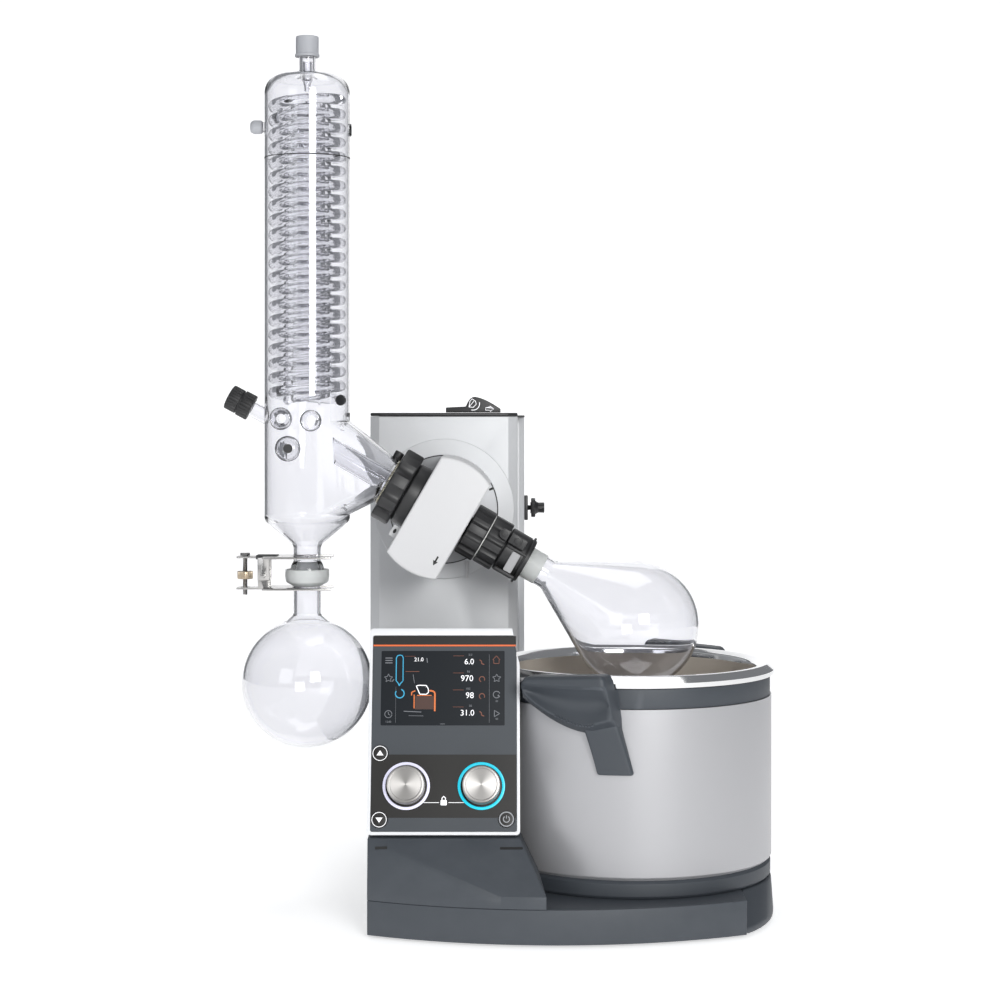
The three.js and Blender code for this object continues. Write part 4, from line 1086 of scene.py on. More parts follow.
    def _scale(self) -> None:
        """The fixed plate behind the disc with its degree marks."""
        profile = fillet([(13, 92.2), (74.6, 92.2, 0.4), (75, 92.6, 0.3), (75, 97.7), (13, 97.7)],
                         2)
        turn = Matrix.Rotation(-math.pi / 2, 4, "X")
        upright = millimetres(PIVOT, X, Y)
        place(moved(lathe(profile, 128, closed=True), turn), "scale_face", SILVER, "carriage",
              upright,
              ["scale_plate"])
        marks = []
        for degrees in (-112.5, -110.6, -107.4, -105.6):
            stroke = rectangle(69.6, 73.4, -0.8, 0.8)
            ca, sa = math.cos(math.radians(degrees)), math.sin(math.radians(degrees))
            marks.append(facing([(u * ca - w * sa, u * sa + w * ca) for u, w in stroke], 0.3,
                                92.05))
        place(merged(*marks), "scale_marks", INK_BLACK_AND_PAINTED_SHADE, "carriage", upright)
        pin = rod((24.5, 88.5, -73.6), (24.5, 88.5, -56), 1.7, 20, 0.5)
        place(pin, "scale_pin", HEAD_WHITE, "carriage", upright)


@dataclass
class Rotor:
    """What turns: vapour tube, lock nut, clip and flask."""

    tube: float = 12.0
    tube_bore: float = 10.0
    flask: float = 65.5
    reach: float = 230.0
    wall: float = 2.2
    neck: float = 16.0

    def build(self) -> None:
        """Makes the rotor's pieces."""
        self._tube()
        place(grip_ring(27.8, 12.5, 30.4, 50.4, 11, 2.2, 0.55, 1.4), "lock_grip", BLACK, "rotor",
              HEAD,
              ["lock_nut"])
        gap = fillet([(18.2, 50.5), (25, 50.5, 0.3), (25, 51.4, 0.3), (18.2, 51.4)], 2)
        place(lathe(gap, 64, True, True), "white_gap_ring", SEAL, "rotor", HEAD)
        place(grip_ring(26.5, 18.5, 51.5, 71.5, 12, 2.0, 0.5, 1.2), "ejector_grip", BLACK,
              "ejector", HEAD,
              ["ejector_ring"])
        self._clip()
        self._latch()
        self._flask()

    def _tube(self) -> None:
        """The vapour tube, cut slantwise at its inner end."""
        bm = lathe([(self.tube_bore, -140), (self.tube, -140), (self.tube, 84), (13.2, 86),
                    (12.4, 112),
                    (self.tube_bore, 112)], 64, True, True)
        normal = Vector((math.cos(math.radians(32)), 0, math.sin(math.radians(32))))
        cut = bmesh.ops.bisect_plane(bm, geom=[*bm.verts, *bm.edges, *bm.faces],
                                     plane_co=(-128, 0, 0),
                                     plane_no=normal, clear_inner=True)
        edges = [g for g in cut["geom_cut"] if isinstance(g, bmesh.types.BMEdge)]
        bmesh.ops.bridge_loops(bm, edges=edges)
        bmesh.ops.recalc_face_normals(bm, faces=bm.faces)
        place(bm, "vapour_duct", GLASS, "rotor", HEAD, ["vapour_tube"])
        ground = [(12.2, 97), (13.45, 97), (13.3, 116), (12.2, 116)]
        place(lathe(ground, 48, True, True), "ground_cone", FROSTED, "rotor", HEAD)
        sleeve = fillet([(16.02, 100.7), (16.5, 100.7, 0.2), (16.5, 116.6, 0.3), (16.02, 117.4)], 2)
        place(lathe(sleeve, 72, True, True), "frosted_neck", FROSTED, "rotor", HEAD)

    def _clip(self) -> None:
        """The clip's sleeve and cup with its end flange."""
        profile = fillet([(12.5, 50.7), (18, 50.7), (18, 72.5), (23, 72.5, 1), (24, 74, 1),
                          (24, 94.6, 0.4),
                          (23, 95.2), (23, 96.4), (26, 96.4, 0.5), (26, 98.6, 0.8), (23.4, 98.6),
                          (23.4, 100.5, 1),
                          (17, 100.5), (17, 82.5), (12.5, 82.5)], 3)
        place(lathe(profile, 72, True, True), "clip_cup", BLACK, "rotor", HEAD, ["clip_body"])

    def _latch(self) -> None:
        """The stadium-shaped latch: a fixed boss, the moving half and the pad."""
        fixed = [*arc((66, 14.8), 5.3, 90, 270, 12), (70.9, 9.5), (70.9, 20.1)]
        moving = [*arc((81, 14.8), 5.3, -90, 90, 12), (72.9, 20.1), (72.9, 9.5)]
        button = fillet([(0, -32.4), (3.3, -32.4, 0.6), (3.3, -29), (0, -29)], 3)
        bosses = [moved(lathe(button, 28), Matrix.Translation((x, 0,
                                                               14.8)) @ Matrix.Rotation(math.pi / 2,
                                                                                              4,
                                                                                        "X")
                        @ Matrix.Scale(-1, 4, Z)) for x in (66, 81)]
        foot = block((79, -29, 9), (91, -24.4, 20), 0.8)
        place(merged(facing(fixed, 3.6, -31.2, 0.8), bosses[0]), "latch_mount", BLACK, "rotor",
              HEAD)
        place(merged(facing(moving, 3.6, -31.2, 0.8), bosses[1], foot), "latch_lever", BLACK,
              "latch", HEAD,
              ["clip_latch"])
        pad = facing(rectangle(82.4, 91.4, -17.6, 3.8, 1.2), 6.0, -26.4, 0.6)
        place(pad, "latch_pad", PAD, "rotor", HEAD)
        rails = merged(block((74, -25.6, -21.4), (96.6, -17, -18.4), 0.6),
                       block((74, -25.6, 4.6), (96.6, -20, 7.2), 0.6),
                       block((74, 17, -18), (96.6, 25.6, 18), 1.2))
        place(rails, "clip_rails", BLACK, "rotor", HEAD)

    def _flask(self) -> None:
        """The pear-shaped flask as one closed wall of glass."""
        def shape(radius: float, neck: float) -> Profile:
            """One surface of the flask, from the neck to the bottom.

            Args:
                radius: the bulb's radius.
                neck: the neck's radius.

            Returns:
                The outline, as radius and length along the axis.
            """
            start = self.reach - 2 * radius + neck / math.tan(math.radians(30))
            bulb = [(r, h) for h, r in arc((self.reach, 0), radius, 120, 0, 40)]
            return fillet([(neck, 83), (neck, start, 10), bulb[0]], 6)[:-1] + bulb
        outer = shape(self.flask, self.neck)
        inner = shape(self.flask - self.wall, self.neck - 2.5)
        bm = lathe(outer + inner[::-1], 96, True, True)
        place(bm, "pear_flask", GLASS, "rotor", HEAD, ["evaporating_flask"])


@dataclass
class Condenser:
    """The upright glass condenser with its two coils and caps."""

    radius: float = 44.0
    wall: float = 2.3
    bottom: float = 396.0
    top: float = 836.0
    dome: float = 19.0
    neck: float = 8.5
    outlet: float = 14.2
    ball: float = 17.5
    ball_z: float = 344.0
    ports: tuple[tuple[float, float, float], ...] = ((-21, 501, 10), (9, 499, 9.5),
                                                     (-14, 471, 11.5))
    turns: int = 21
    pitch: float = 14.7
    coil_bottom: float = 520.0
    rise: float = math.radians(28)

    def __post_init__(self) -> None:
        """Takes the arm and the pivot's height from the frame."""
        self.arm = (PIVOT.x - CONDENSER.translation.x) / MM
        self.pivot_z = PIVOT.z / MM

    def on_axis(self, t: float) -> Vector:
        """A point on the axis of rotation, t millimetres from the pivot."""
        return Vector((self.arm + t * AXIS.x, 0, self.pivot_z + t * AXIS.z))

    def vacuum(self, s: float) -> Vector:
        """A point along the rising vacuum arm."""
        return Vector((4 - self.radius - s * math.cos(self.rise), 0,
                       502.5 + s * math.sin(self.rise)))

    def build(self) -> None:
        """Makes the condenser's pieces."""
        self._jacket()
        for name, radius, tube, start in (("outer", 34.3, 5.7, 0.0), ("inner", 19.8, 5.0, math.pi)):
            self._coil(name, radius, tube, start)
        self._fittings()
        self._caps()
        line = [(self.radius + 0.02, 768.4), (self.radius + 0.2, 768.4), (self.radius + 0.2, 769.3),
                (self.radius + 0.02, 769.3)]
        place(lathe(line, 96, closed=True), "printed_line", INK_BLACK_AND_PAINTED_SHADE, "head", CONDENSER)

    def _surface(self, inset: float) -> Profile:
        """The turned outline, drawn in by an inset.

        Args:
            inset: how far the outline is drawn in.

        Returns:
            The outline, as radius and height.
        """
        radius, outlet, neck = self.radius - inset, self.outlet - inset, self.neck - inset
        low = self.ball_z - (30 if inset else 10)
        return fillet([
            (0, low), (outlet, low), (outlet, self.bottom - 25 + inset, 8),
            (radius, self.bottom + inset, 9),
            (radius, self.top - inset), *arc((radius - self.dome, self.top - inset), self.dome, 8,
                                             76, 8),
            (neck + 1, self.top + self.dome + 1 - inset, 3), (neck, self.top + self.dome + 6),
            (neck, self.top + 37 + (1 if inset else 0)), (0, self.top + 37 + (1 if inset else 0))],
                      5)

    def _branch(self, inset: float) -> list[bmesh.types.BMesh]:
        """The flared branch towards the head, and its neck inside the union nut.

        Args:
            inset: how far each surface is drawn in.

        Returns:
            The flare and the neck, as two meshes.
        """
        side = moved(lathe([(0, 0), (self.radius - 0.15 - inset, 0),
                            (self.radius - 0.15 - inset, 97 - 2 * inset),
                            (0, 97 - 2 * inset)], 96),
                     Matrix.Translation((0, 0, self.bottom + 6 + inset)))
        rim = rod(self.on_axis(-69), self.on_axis(-67.5 if inset else -65), 24 - inset, 64)
        narrow = rod(self.on_axis(-76), self.on_axis(-41.4 if inset else -46.4), 22 - inset, 64)
        return [hull_of(side, rim), narrow]

    def _jacket(self) -> None:
        """The outer glass: joined outside, then hollowed."""
        outside = [*self._branch(0), rod(self.vacuum(0), self.vacuum(18.6), 8.5, 40),
                   rod((-47, 0, 801), (-30, 0, 801), 5.4, 28),
                   rod((30, 0, 798), (46.0, 0, 798), 6.6, 32, 1.6)]
        for x, z, radius in self.ports:
            outside.append(rod((x, -34, z), (x, -61, z), radius - 1.8, 36))
            outside.append(rod((x, -58.4, z), (x, -62, z), radius, 36, 0.9))
        ball = arc((0, self.ball_z), self.ball, -46, 46, 14)
        outside.append(lathe([(0, self.ball_z - 12.7), *ball, (0, self.ball_z + 12.6)], 64))
        inside = [lathe(self._surface(self.wall), 96), *self._branch(self.wall),
                  rod(self.vacuum(-8), self.vacuum(20), 6, 32)]
        inside += [rod((x, -30, z), (x, -63, z), 4.8, 28) for x, z, _ in self.ports]
        joined = combined(lathe(self._surface(0), 96), outside, "UNION")
        bm = combined(joined, inside, "DIFFERENCE")
        place(bm, "condenser_glass", GLASS, "head", CONDENSER, ["condenser_jacket"], 26)

    def _coil(self, name: str, radius: float, tube: float, start: float) -> None:
        """One cooling coil, closed at both ends.

        Args:
            name: which coil it is.
            radius: the spiral's radius.
            tube: the tube's radius.
            start: the angle of its lower end.
        """
        per_turn, sides = 30, 14
        bm = bmesh.new()
        bmesh.ops.create_circle(bm, cap_ends=True, segments=sides, radius=tube)
        bmesh.ops.rotate(bm, matrix=Matrix.Rotation(math.pi / 2, 3, "X"), verts=bm.verts)
        bmesh.ops.translate(bm, vec=(radius, 0, self.coil_bottom), verts=bm.verts)
        bmesh.ops.rotate(bm, matrix=Matrix.Rotation(start, 3, "Z"), verts=bm.verts)
        bmesh.ops.spin(bm, geom=[*bm.verts, *bm.edges, *bm.faces], cent=(0, 0, 0), axis=(0, 0, 1),
                       dvec=(0, 0, self.pitch / per_turn), angle=FULL_TURN * self.turns,
                       steps=self.turns * per_turn, use_merge=False, use_duplicate=False)
        bmesh.ops.recalc_face_normals(bm, faces=bm.faces)
        place(bm, f"{name}_cooling_coil", GLASS, "head", CONDENSER, [f"{name}_coil"], 60)

    def _fittings(self) -> None:
        """The moulded rims of the front ports and the dark end in the lowest."""
        bosses = [moved(lathe(fillet([(5.4, -65.4), (r - 0.6, -65.4, 1.2), (r + 1.4, -63.4, 1.4),
                                      (r + 1.4, -62.3, 0.6),
                                      (5.4, -62.3)], 4), 40, closed=True),
                        Matrix.Translation((x, 0, z)) @ Matrix.Rotation(-math.pi / 2, 4, "X"))
                  for x, z, r in self.ports]
        place(merged(*bosses), "port_rims", GLASS, "head", CONDENSER)
        dark = moved(lathe([(0, 0), (4.6, 0), (4.6, 16), (0, 16)], 28),
                     Matrix.Translation((-14, -45, 471)) @ Matrix.Rotation(math.pi / 2, 4, "X"))
        place(dark, "probe_end", BLACK, "head", CONDENSER)
        stopper = fillet([(0, 45.5), (5.4, 45.5, 0.5), (7.0, 47.4, 1.6), (7.2, 55, 3), (5, 58.4, 2),
                          (0, 58.8)], 4)
        place(moved(lathe(stopper, 32, True),
                    Matrix.Translation((0, 0, 801)) @ Matrix.Scale(-1, 4, X)),
              "side_stopper", GREY, "head", CONDENSER)
        tip = [(3.4, 868), (5.2, 868), (5.2, 852), (3.4, 846), (3.0, 838), (2.0, 838), (2.2, 846),
               (3.4, 850)]
        place(lathe(tip, 32, closed=True), "drip_tube", GLASS, "head", CONDENSER)

    def _caps(self) -> None:
        """The grey cap at the top and the ribbed black cap of the vacuum arm."""
        base = self.top + 37.3
        profile = fillet([(0, base), (12.6, base, 0.4), (12.6, base + 2.6, 0.6),
                          (11.8, base + 3.2, 0.4),
                          (11.8, base + 21, 1.4), (0, base + 22.5)], 4)
        place(lathe(profile, 64), "top_cap", GREY, "head", CONDENSER, ["feed_cap"])
        spot = self.vacuum(19.5)
        turn = Matrix.Rotation(math.pi + self.rise, 4, "Y")
        lower = grip_ring(13.6, 6.2, 0, 12.4, 24, 0.8, 0.5, 0.8)
        upper = grip_ring(13.0, 4.6, 13.4, 26, 24, 0.7, 0.5, 1.0)
        crown = lathe(fillet([(0, 12), (11.6, 12), (11.6, 26.4, 1), (0, 27)], 3), 48, True)
        place(merged(lower, upper, crown), "arm_cap", BLACK, "head",
              CONDENSER @ Matrix.Translation(spot) @ turn, ["vacuum_cap"])


@dataclass
class Receiver:
    """The receiving flask on its ball joint, with the spring clamp."""

    radius: float = 66.8
    wall: float = 2.2
    neck: float = 14.2
    socket: float = 22.6
    ball_z: float = 344.0
    seat: float = 17.8

    def build(self) -> None:
        """Makes the receiving flask's and the clamp's pieces."""
        self._flask()
        for node, body in (("clamp_upper", "head"), ("clamp_lower", "clamp_jaw")):
            softened(node, STEEL, body, 0.5)
        self._bolt()
        sleeve = block((-52, -9.8, 356.4), (-30, 9.8, 360.9), 1.0)
        place(sleeve, "clamp_sleeve", BLACK, "head", CONDENSER)
        nut = moved(grip_ring(8, 2.8, -4, 4, 30, 0.5, 0.4, 0.6),
                    Matrix.Translation((-64, 0, 340)) @ Matrix.Rotation(math.pi / 2, 4, "Y"))
        place(nut, "knurled_nut", BRASS, "clamp_nut", CONDENSER, ["clamp_nut"])

    def _flask(self) -> None:
        """The round flask up to its neck, and its ground socket."""
        centre = self.ball_z - 47.5 - self.radius
        def shape(radius: float, neck: float, low: float) -> Profile:
            """One surface of the flask, from its bottom to the neck's top.

            Args:
                radius: the bulb's radius.
                neck: the neck's radius.
                low: the height at which the neck ends.

            Returns:
                The outline, as radius and height.
            """
            turn = math.degrees(math.acos((self.neck + 3) / self.radius))
            bulb = arc((0, centre), radius, -90, turn, 48)
            return bulb[:-1] + fillet([bulb[-2], (neck, centre + self.radius + 3, 4), (neck, low)],
                                      5)[1:]
        outer = shape(self.radius, self.neck, self.ball_z - 15)
        inner = shape(self.radius - self.wall, self.neck - 2.4, self.ball_z - 15)
        place(lathe(outer + inner[::-1], 96, closed=True), "receiver_glass", GLASS, "head",
              CONDENSER,
              ["receiving_flask"])
        z = self.ball_z
        cup = [(self.neck - 2.4, z - 15.3), (self.neck, z - 15.3, 1),
               (self.socket - 1, z - 11, 2.5),
               (self.socket, z - 5, 2.5), (self.socket - 0.3, z + 2, 0.8), (self.seat + 0.6, z + 2),
               *arc((0, z), self.seat, 0, -45, 6)]
        place(lathe(fillet(cup, 4), 72, closed=True), "ground_socket", FROSTED, "head", CONDENSER)

    def _bolt(self) -> None:
        """The clamp's threaded bolt with its hexagon head."""
        low, high = 319.6, 361.1
        pitch = 1.0
        thread = []
        for i in range(int((high - low) / pitch) - 2):
            thread += [(2.5, low + 1 + pitch * i), (2.15, low + 1 + pitch * (i + 0.5))]
        shank = lathe([(0, low), (2, low), *thread, (2.3, high), (0, high)], 20)
        head = lathe(fillet([(0, 359.9), (5, 359.9), (5, 362.9, 0.5), (0, 362.9)], 2), 6)
        place(merged(shank, head), "clamp_screw", STEEL, "head",
              CONDENSER @ Matrix.Translation((-64, 0, 0)),
              ["clamp_bolt"])


# ---- the control panel -----------------------------------------------------------------
@dataclass(frozen=True)
class Reading:
    """One figure on the screen, centred at a place on the panel."""

    text: str
    x: float
    z: float
    size: float
    finish: Finish


@dataclass(frozen=True)
class Stroke:
    """One drawn line on the screen."""

    points: tuple[tuple[float, float], ...]
    width: float
    finish: Finish


def ring_of(x: float, z: float, radius: float, start: float = 0, end: float = 352) -> tuple:
    """Points round a circle on the panel."""
    return tuple(arc((x, z), radius, start, end, 22))


def star_of(x: float, z: float, radius: float) -> tuple:
    """Points round a five-pointed star on the panel.

    Args:
        x: the middle, across.
        z: the middle, upwards.
        radius: the distance to the points.

    Returns:
        The points of the star, closed.
    """
    return tuple((x + radius * (1 if i % 2 == 0 else 0.5) * math.cos(math.radians(90 + 36 * i)),
                  z + radius * (1 if i % 2 == 0 else 0.5) * math.sin(math.radians(90 + 36 * i)))
                 for i in range(11))


READINGS = (
    Reading("21.0", -25.5, 170.8, 5.4, INK_WHITE_SCREEN_AND_PAINTED_GLOW), Reading("6.0", 24.3, 168.6, 8.0, INK_WHITE_SCREEN_AND_PAINTED_GLOW),
    Reading("970", 22.2, 152.0, 8.4, INK_WHITE_SCREEN_AND_PAINTED_GLOW), Reading("98", 25.0, 135.2, 8.4, INK_WHITE_SCREEN_AND_PAINTED_GLOW),
    Reading("31.0", 22.6, 118.0, 8.2, INK_WHITE_SCREEN_AND_PAINTED_GLOW), Reading("5.0", 25.4, 175.6, 3.0, INK_DIM),
    Reading("95", 23.6, 158.8, 3.0, INK_DIM), Reading("100", 23.2, 141.9, 3.0, INK_DIM),
    Reading("30", 25.6, 125.0, 3.0, INK_DIM), Reading("12:00", -55.0, 109.4, 2.6, INK_DIM),
    Reading("00", 51.6, 129.6, 2.6, INK_DIM), Reading("00", 51.6, 112.2, 2.6, INK_DIM),
)
STROKES = (
    *(Stroke(((-58.6, z), (-51.6, z)), 0.9, INK_DIM) for z in (172.4, 170.0, 167.6)),
    Stroke(star_of(-55.3, 152.4, 4.2), 0.55, INK_DIM),
    Stroke(((-51.8, 149.0), (-49.8, 151.4)), 0.8, INK_DIM),
    Stroke(ring_of(-55.0, 116.9, 3.5), 0.6, INK_DIM),
    Stroke(((-55, 119), (-55, 116.9), (-53.4, 116)), 0.6, INK_DIM),
    Stroke(((-41.0, 149.5), (-41.0, 172.5), (-42.0, 174.8), (-44.0, 175.4)), 0.8, INK_CYAN),
    Stroke(((-44.0, 175.4), (-46.6, 174.8), (-47.8, 172.5), (-47.8, 150.0), (-45.4, 147.0),
            (-44.6, 144.8),
            (-43.6, 147.0), (-41.4, 149.2)), 0.9, INK_CYAN),
    Stroke(ring_of(-44.0, 137.2, 4.3, -215, 70), 1.0, INK_CYAN),
    Stroke(((-27.8, 144.6), (-25.2, 145.4), (-18.0, 145.2), (-16.0, 142.0), (-15.6, 138.6),
            (-17.8, 136.4),
            (-24.2, 136.6), (-27.8, 144.6)), 0.9, INK_WHITE_SCREEN_AND_PAINTED_GLOW),
    Stroke(((-32.4, 135.4), (-32.2, 138.6), (-28.6, 140.0)), 1.1, INK_AMBER),
    Stroke(((-14.8, 140.2), (-10.6, 139.4), (-9.4, 137.6), (-9.4, 119.8)), 1.6, INK_AMBER),
    Stroke(((-29.8, 136.2), (-29.8, 122.6)), 1.0, INK_AMBER),
    Stroke(((-27.0, 135.4), (-12.6, 135.4)), 0.8, INK_AMBER),
    Stroke(((-28.8, 128.2), (-10.6, 128.2)), 13.0, INK_EMBER),
    Stroke(((-40.0, 119.8), (-22.6, 119.0)), 0.7, INK_DIM),
    Stroke(((-35.0, 115.4), (-20.6, 115.2)), 0.4, INK_DIM),
    Stroke(((-39.5, 174.2), (-28.8, 174.2)), 0.3, INK_RUST),
    Stroke(((-38.6, 159.0), (-25.0, 159.0)), 0.5, INK_RUST),
    Stroke(((-31.0, 156.0), (-29.6, 147.4)), 0.5, INK_DIM),
    Stroke(((-17.6, 172.4), (-17.0, 167.8)), 0.8, INK_DIM),
    *(Stroke(((8.4, z), (19.0, z)), 0.35, INK_RUST) for z in (174.6, 157.6, 140.8, 124.0)),
    *(Stroke(((34.6, z + 2.2), (36.4, z + 1.0), (36.8, z - 1.6), (39.2, z - 2.4)), 0.9, INK_RUST)
      for z in (168.4, 117.4)),
    *(Stroke(ring_of(37.0, z, 2.6, -30, 250), 0.8, INK_RUST) for z in (151.4, 134.6)),
    Stroke(((44.2, 176.0), (44.2, 108.5)), 0.25, INK_DIM),
    Stroke(((-47.9, 144.0), (-47.9, 108.5)), 0.2, INK_DIM),
    Stroke(((47.6, 170.6), (51.2, 174.6), (54.8, 170.6), (53.8, 170.6), (53.8, 167.0),
            (48.6, 167.0),
            (48.6, 170.6),
            (47.6, 170.6)), 0.55, INK_RUST),
    Stroke(star_of(51.5, 152.4, 4.2), 0.55, INK_DIM),
    Stroke(ring_of(51.4, 136.2, 3.3, 20, 330), 0.7, INK_DIM),
    Stroke(((52.8, 135.8), (54.4, 133.8)), 1.2, INK_DIM),
    Stroke(((49.2, 120.6), (49.2, 114.4), (54.4, 117.5), (49.2, 120.6)), 0.6, INK_DIM),
    Stroke(((-4.0, 107.3), (0.6, 107.3)), 0.5, INK_DIM),
    # Printed marks on the knob field, with a painted glow.
    Stroke(((-19.6, 31.0), (-4.6, 31.0)), 0.55, INK_WHITE_SCREEN_AND_PAINTED_GLOW),
    Stroke(((4.6, 31.0), (19.6, 31.0)), 0.55, INK_WHITE_SCREEN_AND_PAINTED_GLOW),
    Stroke(((-1.7, 33.2), (-1.7, 35.4), (0.0, 37.0), (1.7, 35.4), (1.7, 33.2)), 0.9, INK_WHITE_SCREEN_AND_PAINTED_GLOW),
)


@dataclass
class Panel:
    """The tilted control panel with its screen, knobs, rings and buttons."""

    knob_x: float = 36.6
    knob_z: float = 47.0
    knob_radius: float = 18.3
    knob_height: float = 18.0
    buttons: dict[str, tuple[float, float]] = field(default_factory=lambda: {
        "button_up": (-62.5, 78.5), "button_down": (-62.5, 14.5), "button_power": (61.0, 15.0)})

    def __post_init__(self) -> None:
        """Finds the panel's own frame from the two knobs' joints."""
        left, right = joint("knob_left_turn"), joint("knob_right_turn")
        inward = -Vector(left["axis"]).normalized()
        up = X.cross(inward)
        centre = (Vector(left["pos_m"]) + Vector(right["pos_m"])) / 2
        self.matrix = millimetres(centre - up * self.knob_z * MM, X, inward)

    def build(self) -> None:
        """Makes the console and everything on its panel."""
        softened("console_cover", SLATE, "base", 1.2)
        softened("console_housing", SLATE, "base", 1.0)
        softened("panel_frame", PALE, "base", 0.6)
        softened("panel_glass", PANEL, "base", 0.15, 1)
        dressed("circuit_board", BOARD)
        self._fields()
        self._screen()
        self._knobs()
        self._buttons()
        self._painted_slot_shades()

    def _fields(self) -> None:
        """The panel's differently coloured fields."""
        for name, finish, area, radius in (
                ("title_strip", CHARCOAL, (-70.6, 70.6, 185.8, 194.4), 0.0),
                # The orange rule glows with a painted glow.
                ("orange_rule", ORANGE_PAINTED_GLOW, (-70.6, 70.6, 184.2, 185.7), 0.0),
                ("knob_field", CHARCOAL, (-70.6, 70.6, 16.4, 77.4), 0.0),
                ("screen_glass", SCREEN, (-62.5, 59.3, 105.9, 179.5), 1.0)):
            place(facing(rectangle(*area, radius), 0.3, -0.05), name, finish, "base", self.matrix)

    def _screen(self) -> None:
        """Figures and drawn lines, one piece for each colour."""
        inks: dict[Finish, list[bmesh.types.BMesh]] = {}
        for reading in READINGS:
            text = moved(lettering(reading.text, reading.size),
                         Matrix.Translation((reading.x, -0.14, reading.z)))
            inks.setdefault(reading.finish, []).append(text)
        for stroke in STROKES:
            for a, b in zip(stroke.points, stroke.points[1:]):
                outline = band_outline([a, b], stroke.width)
                inks.setdefault(stroke.finish, []).append(facing(outline, 0.14, -0.2))
        # A printed white mark on the knob field, with a painted glow.
        inks[INK_WHITE_SCREEN_AND_PAINTED_GLOW].append(facing(rectangle(-3.0, 3.0, 28.4, 33.4, 0.8), 0.14, -0.2))
        for finish, meshes in inks.items():
            place(merged(*meshes), f"screen_{finish.name}", finish, "base", self.matrix)

    def _knobs(self) -> None:
        """The turned knobs and the light rings round them."""
        for name, side, glow in (("left", -1, LAVENDER), ("right", 1, CYAN)):
            spot = self.matrix @ Matrix.Translation((side * self.knob_x, 0, self.knob_z))
            r, h = self.knob_radius, self.knob_height
            profile = fillet([(0, -h + 0.5), (r - 3.4, -h + 0.5), (r - 2.6, -h, 0.3),
                              (r - 0.9, -h, 0.6),
                              (r, -h + 1.4, 0.6), (r, -4), (r - 0.7, -3.6), (r - 0.7, -2.6),
                              (r, -2.2),
                              (r, -0.4),
                              (0, -0.4)], 3)
            turn = Matrix.Rotation(-math.pi / 2, 4, "X")
            knob = moved(lathe(profile, 96), turn)
            # The fan map lays out the knob face's painted highlight and shade fans.
            fan_map(knob)
            place(knob, f"knob_{name}_turned", KNOB, f"knob_{name}", spot, [f"knob_{name}"])
            place(ring_plate(23.1, 20.3, -0.8, 1.8, 96, 0.6), f"glow_{name}", glow, "base", spot,
                  [f"light_ring_{name}"])

    def _buttons(self) -> None:
        """The three press buttons with their printed marks."""
        for name, (x, z) in self.buttons.items():
            spot = self.matrix @ Matrix.Translation((x, 0, z))
            turn = Matrix.Rotation(-math.pi / 2, 4, "X")
            cap = lathe(fillet([(0, -1.6), (7.4, -1.6, 0.3), (7.8, -1.0, 0.2), (7.8, 2.6),
                                (0, 2.6)], 3),
                        48)
            place(moved(cap, turn), f"{name}_cap", CHARCOAL, name, spot, [name])
            power = name == "button_power"
            marks = [ring_plate(7.3, 6.2 if power else 6.7, -1.72, -1.5, 48, 0.0)]
            if power:
                marks.append(facing(band_outline(arc((0, 0), 3.0, 125, 415, 20), 0.9), 0.2, -1.72))
                marks.append(facing(rectangle(-0.4, 0.4, 0.6, 3.6), 0.2, -1.72))
            else:
                flip = 1 if name == "button_up" else -1
                triangle = [(-3.4, -2.0 * flip), (3.4, -2.0 * flip), (0, 2.9 * flip)]
                marks.append(facing(triangle if flip > 0 else triangle[::-1], 0.2, -1.72))
            # The power button's grey print and the other buttons' white print carry a painted glow.
            place(merged(*marks), f"{name}_print", GREY_PRINT_PAINTED_GLOW if power else INK_WHITE_SCREEN_AND_PAINTED_GLOW, name, spot)

    def _painted_slot_shades(self) -> None:
        """Painted shade for two narrow latch slots near the top of the lower cover: flat black plates
        where their dark openings are.
        """
        cover = frame["nodes"]["console_cover"].data
        tree = BVHTree.FromPolygons([v.co for v in cover.vertices],
                                    [p.vertices for p in cover.polygons])
        low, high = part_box("console_cover")
        height = high[2] - 0.0078
        for name, x, half in (("left", low[0] + 0.0135, 6.0), ("right", high[0] - 0.033, 11.0)):
            spot, normal, _, _ = tree.ray_cast(Vector((x, -1, height)), Y)
            if spot is None:
                continue
            level = X - normal * X.dot(normal)
            matrix = millimetres(spot, level.normalized(), -normal)
            # Each plate is painted shade, standing for a slot's dark opening.
            place(facing(rectangle(-half, half, -1.4, 1.4, 0.6), 0.5, -0.12), f"cover_slot_shade_{name}",
                  INK_BLACK_AND_PAINTED_SHADE,
                  "base", matrix)


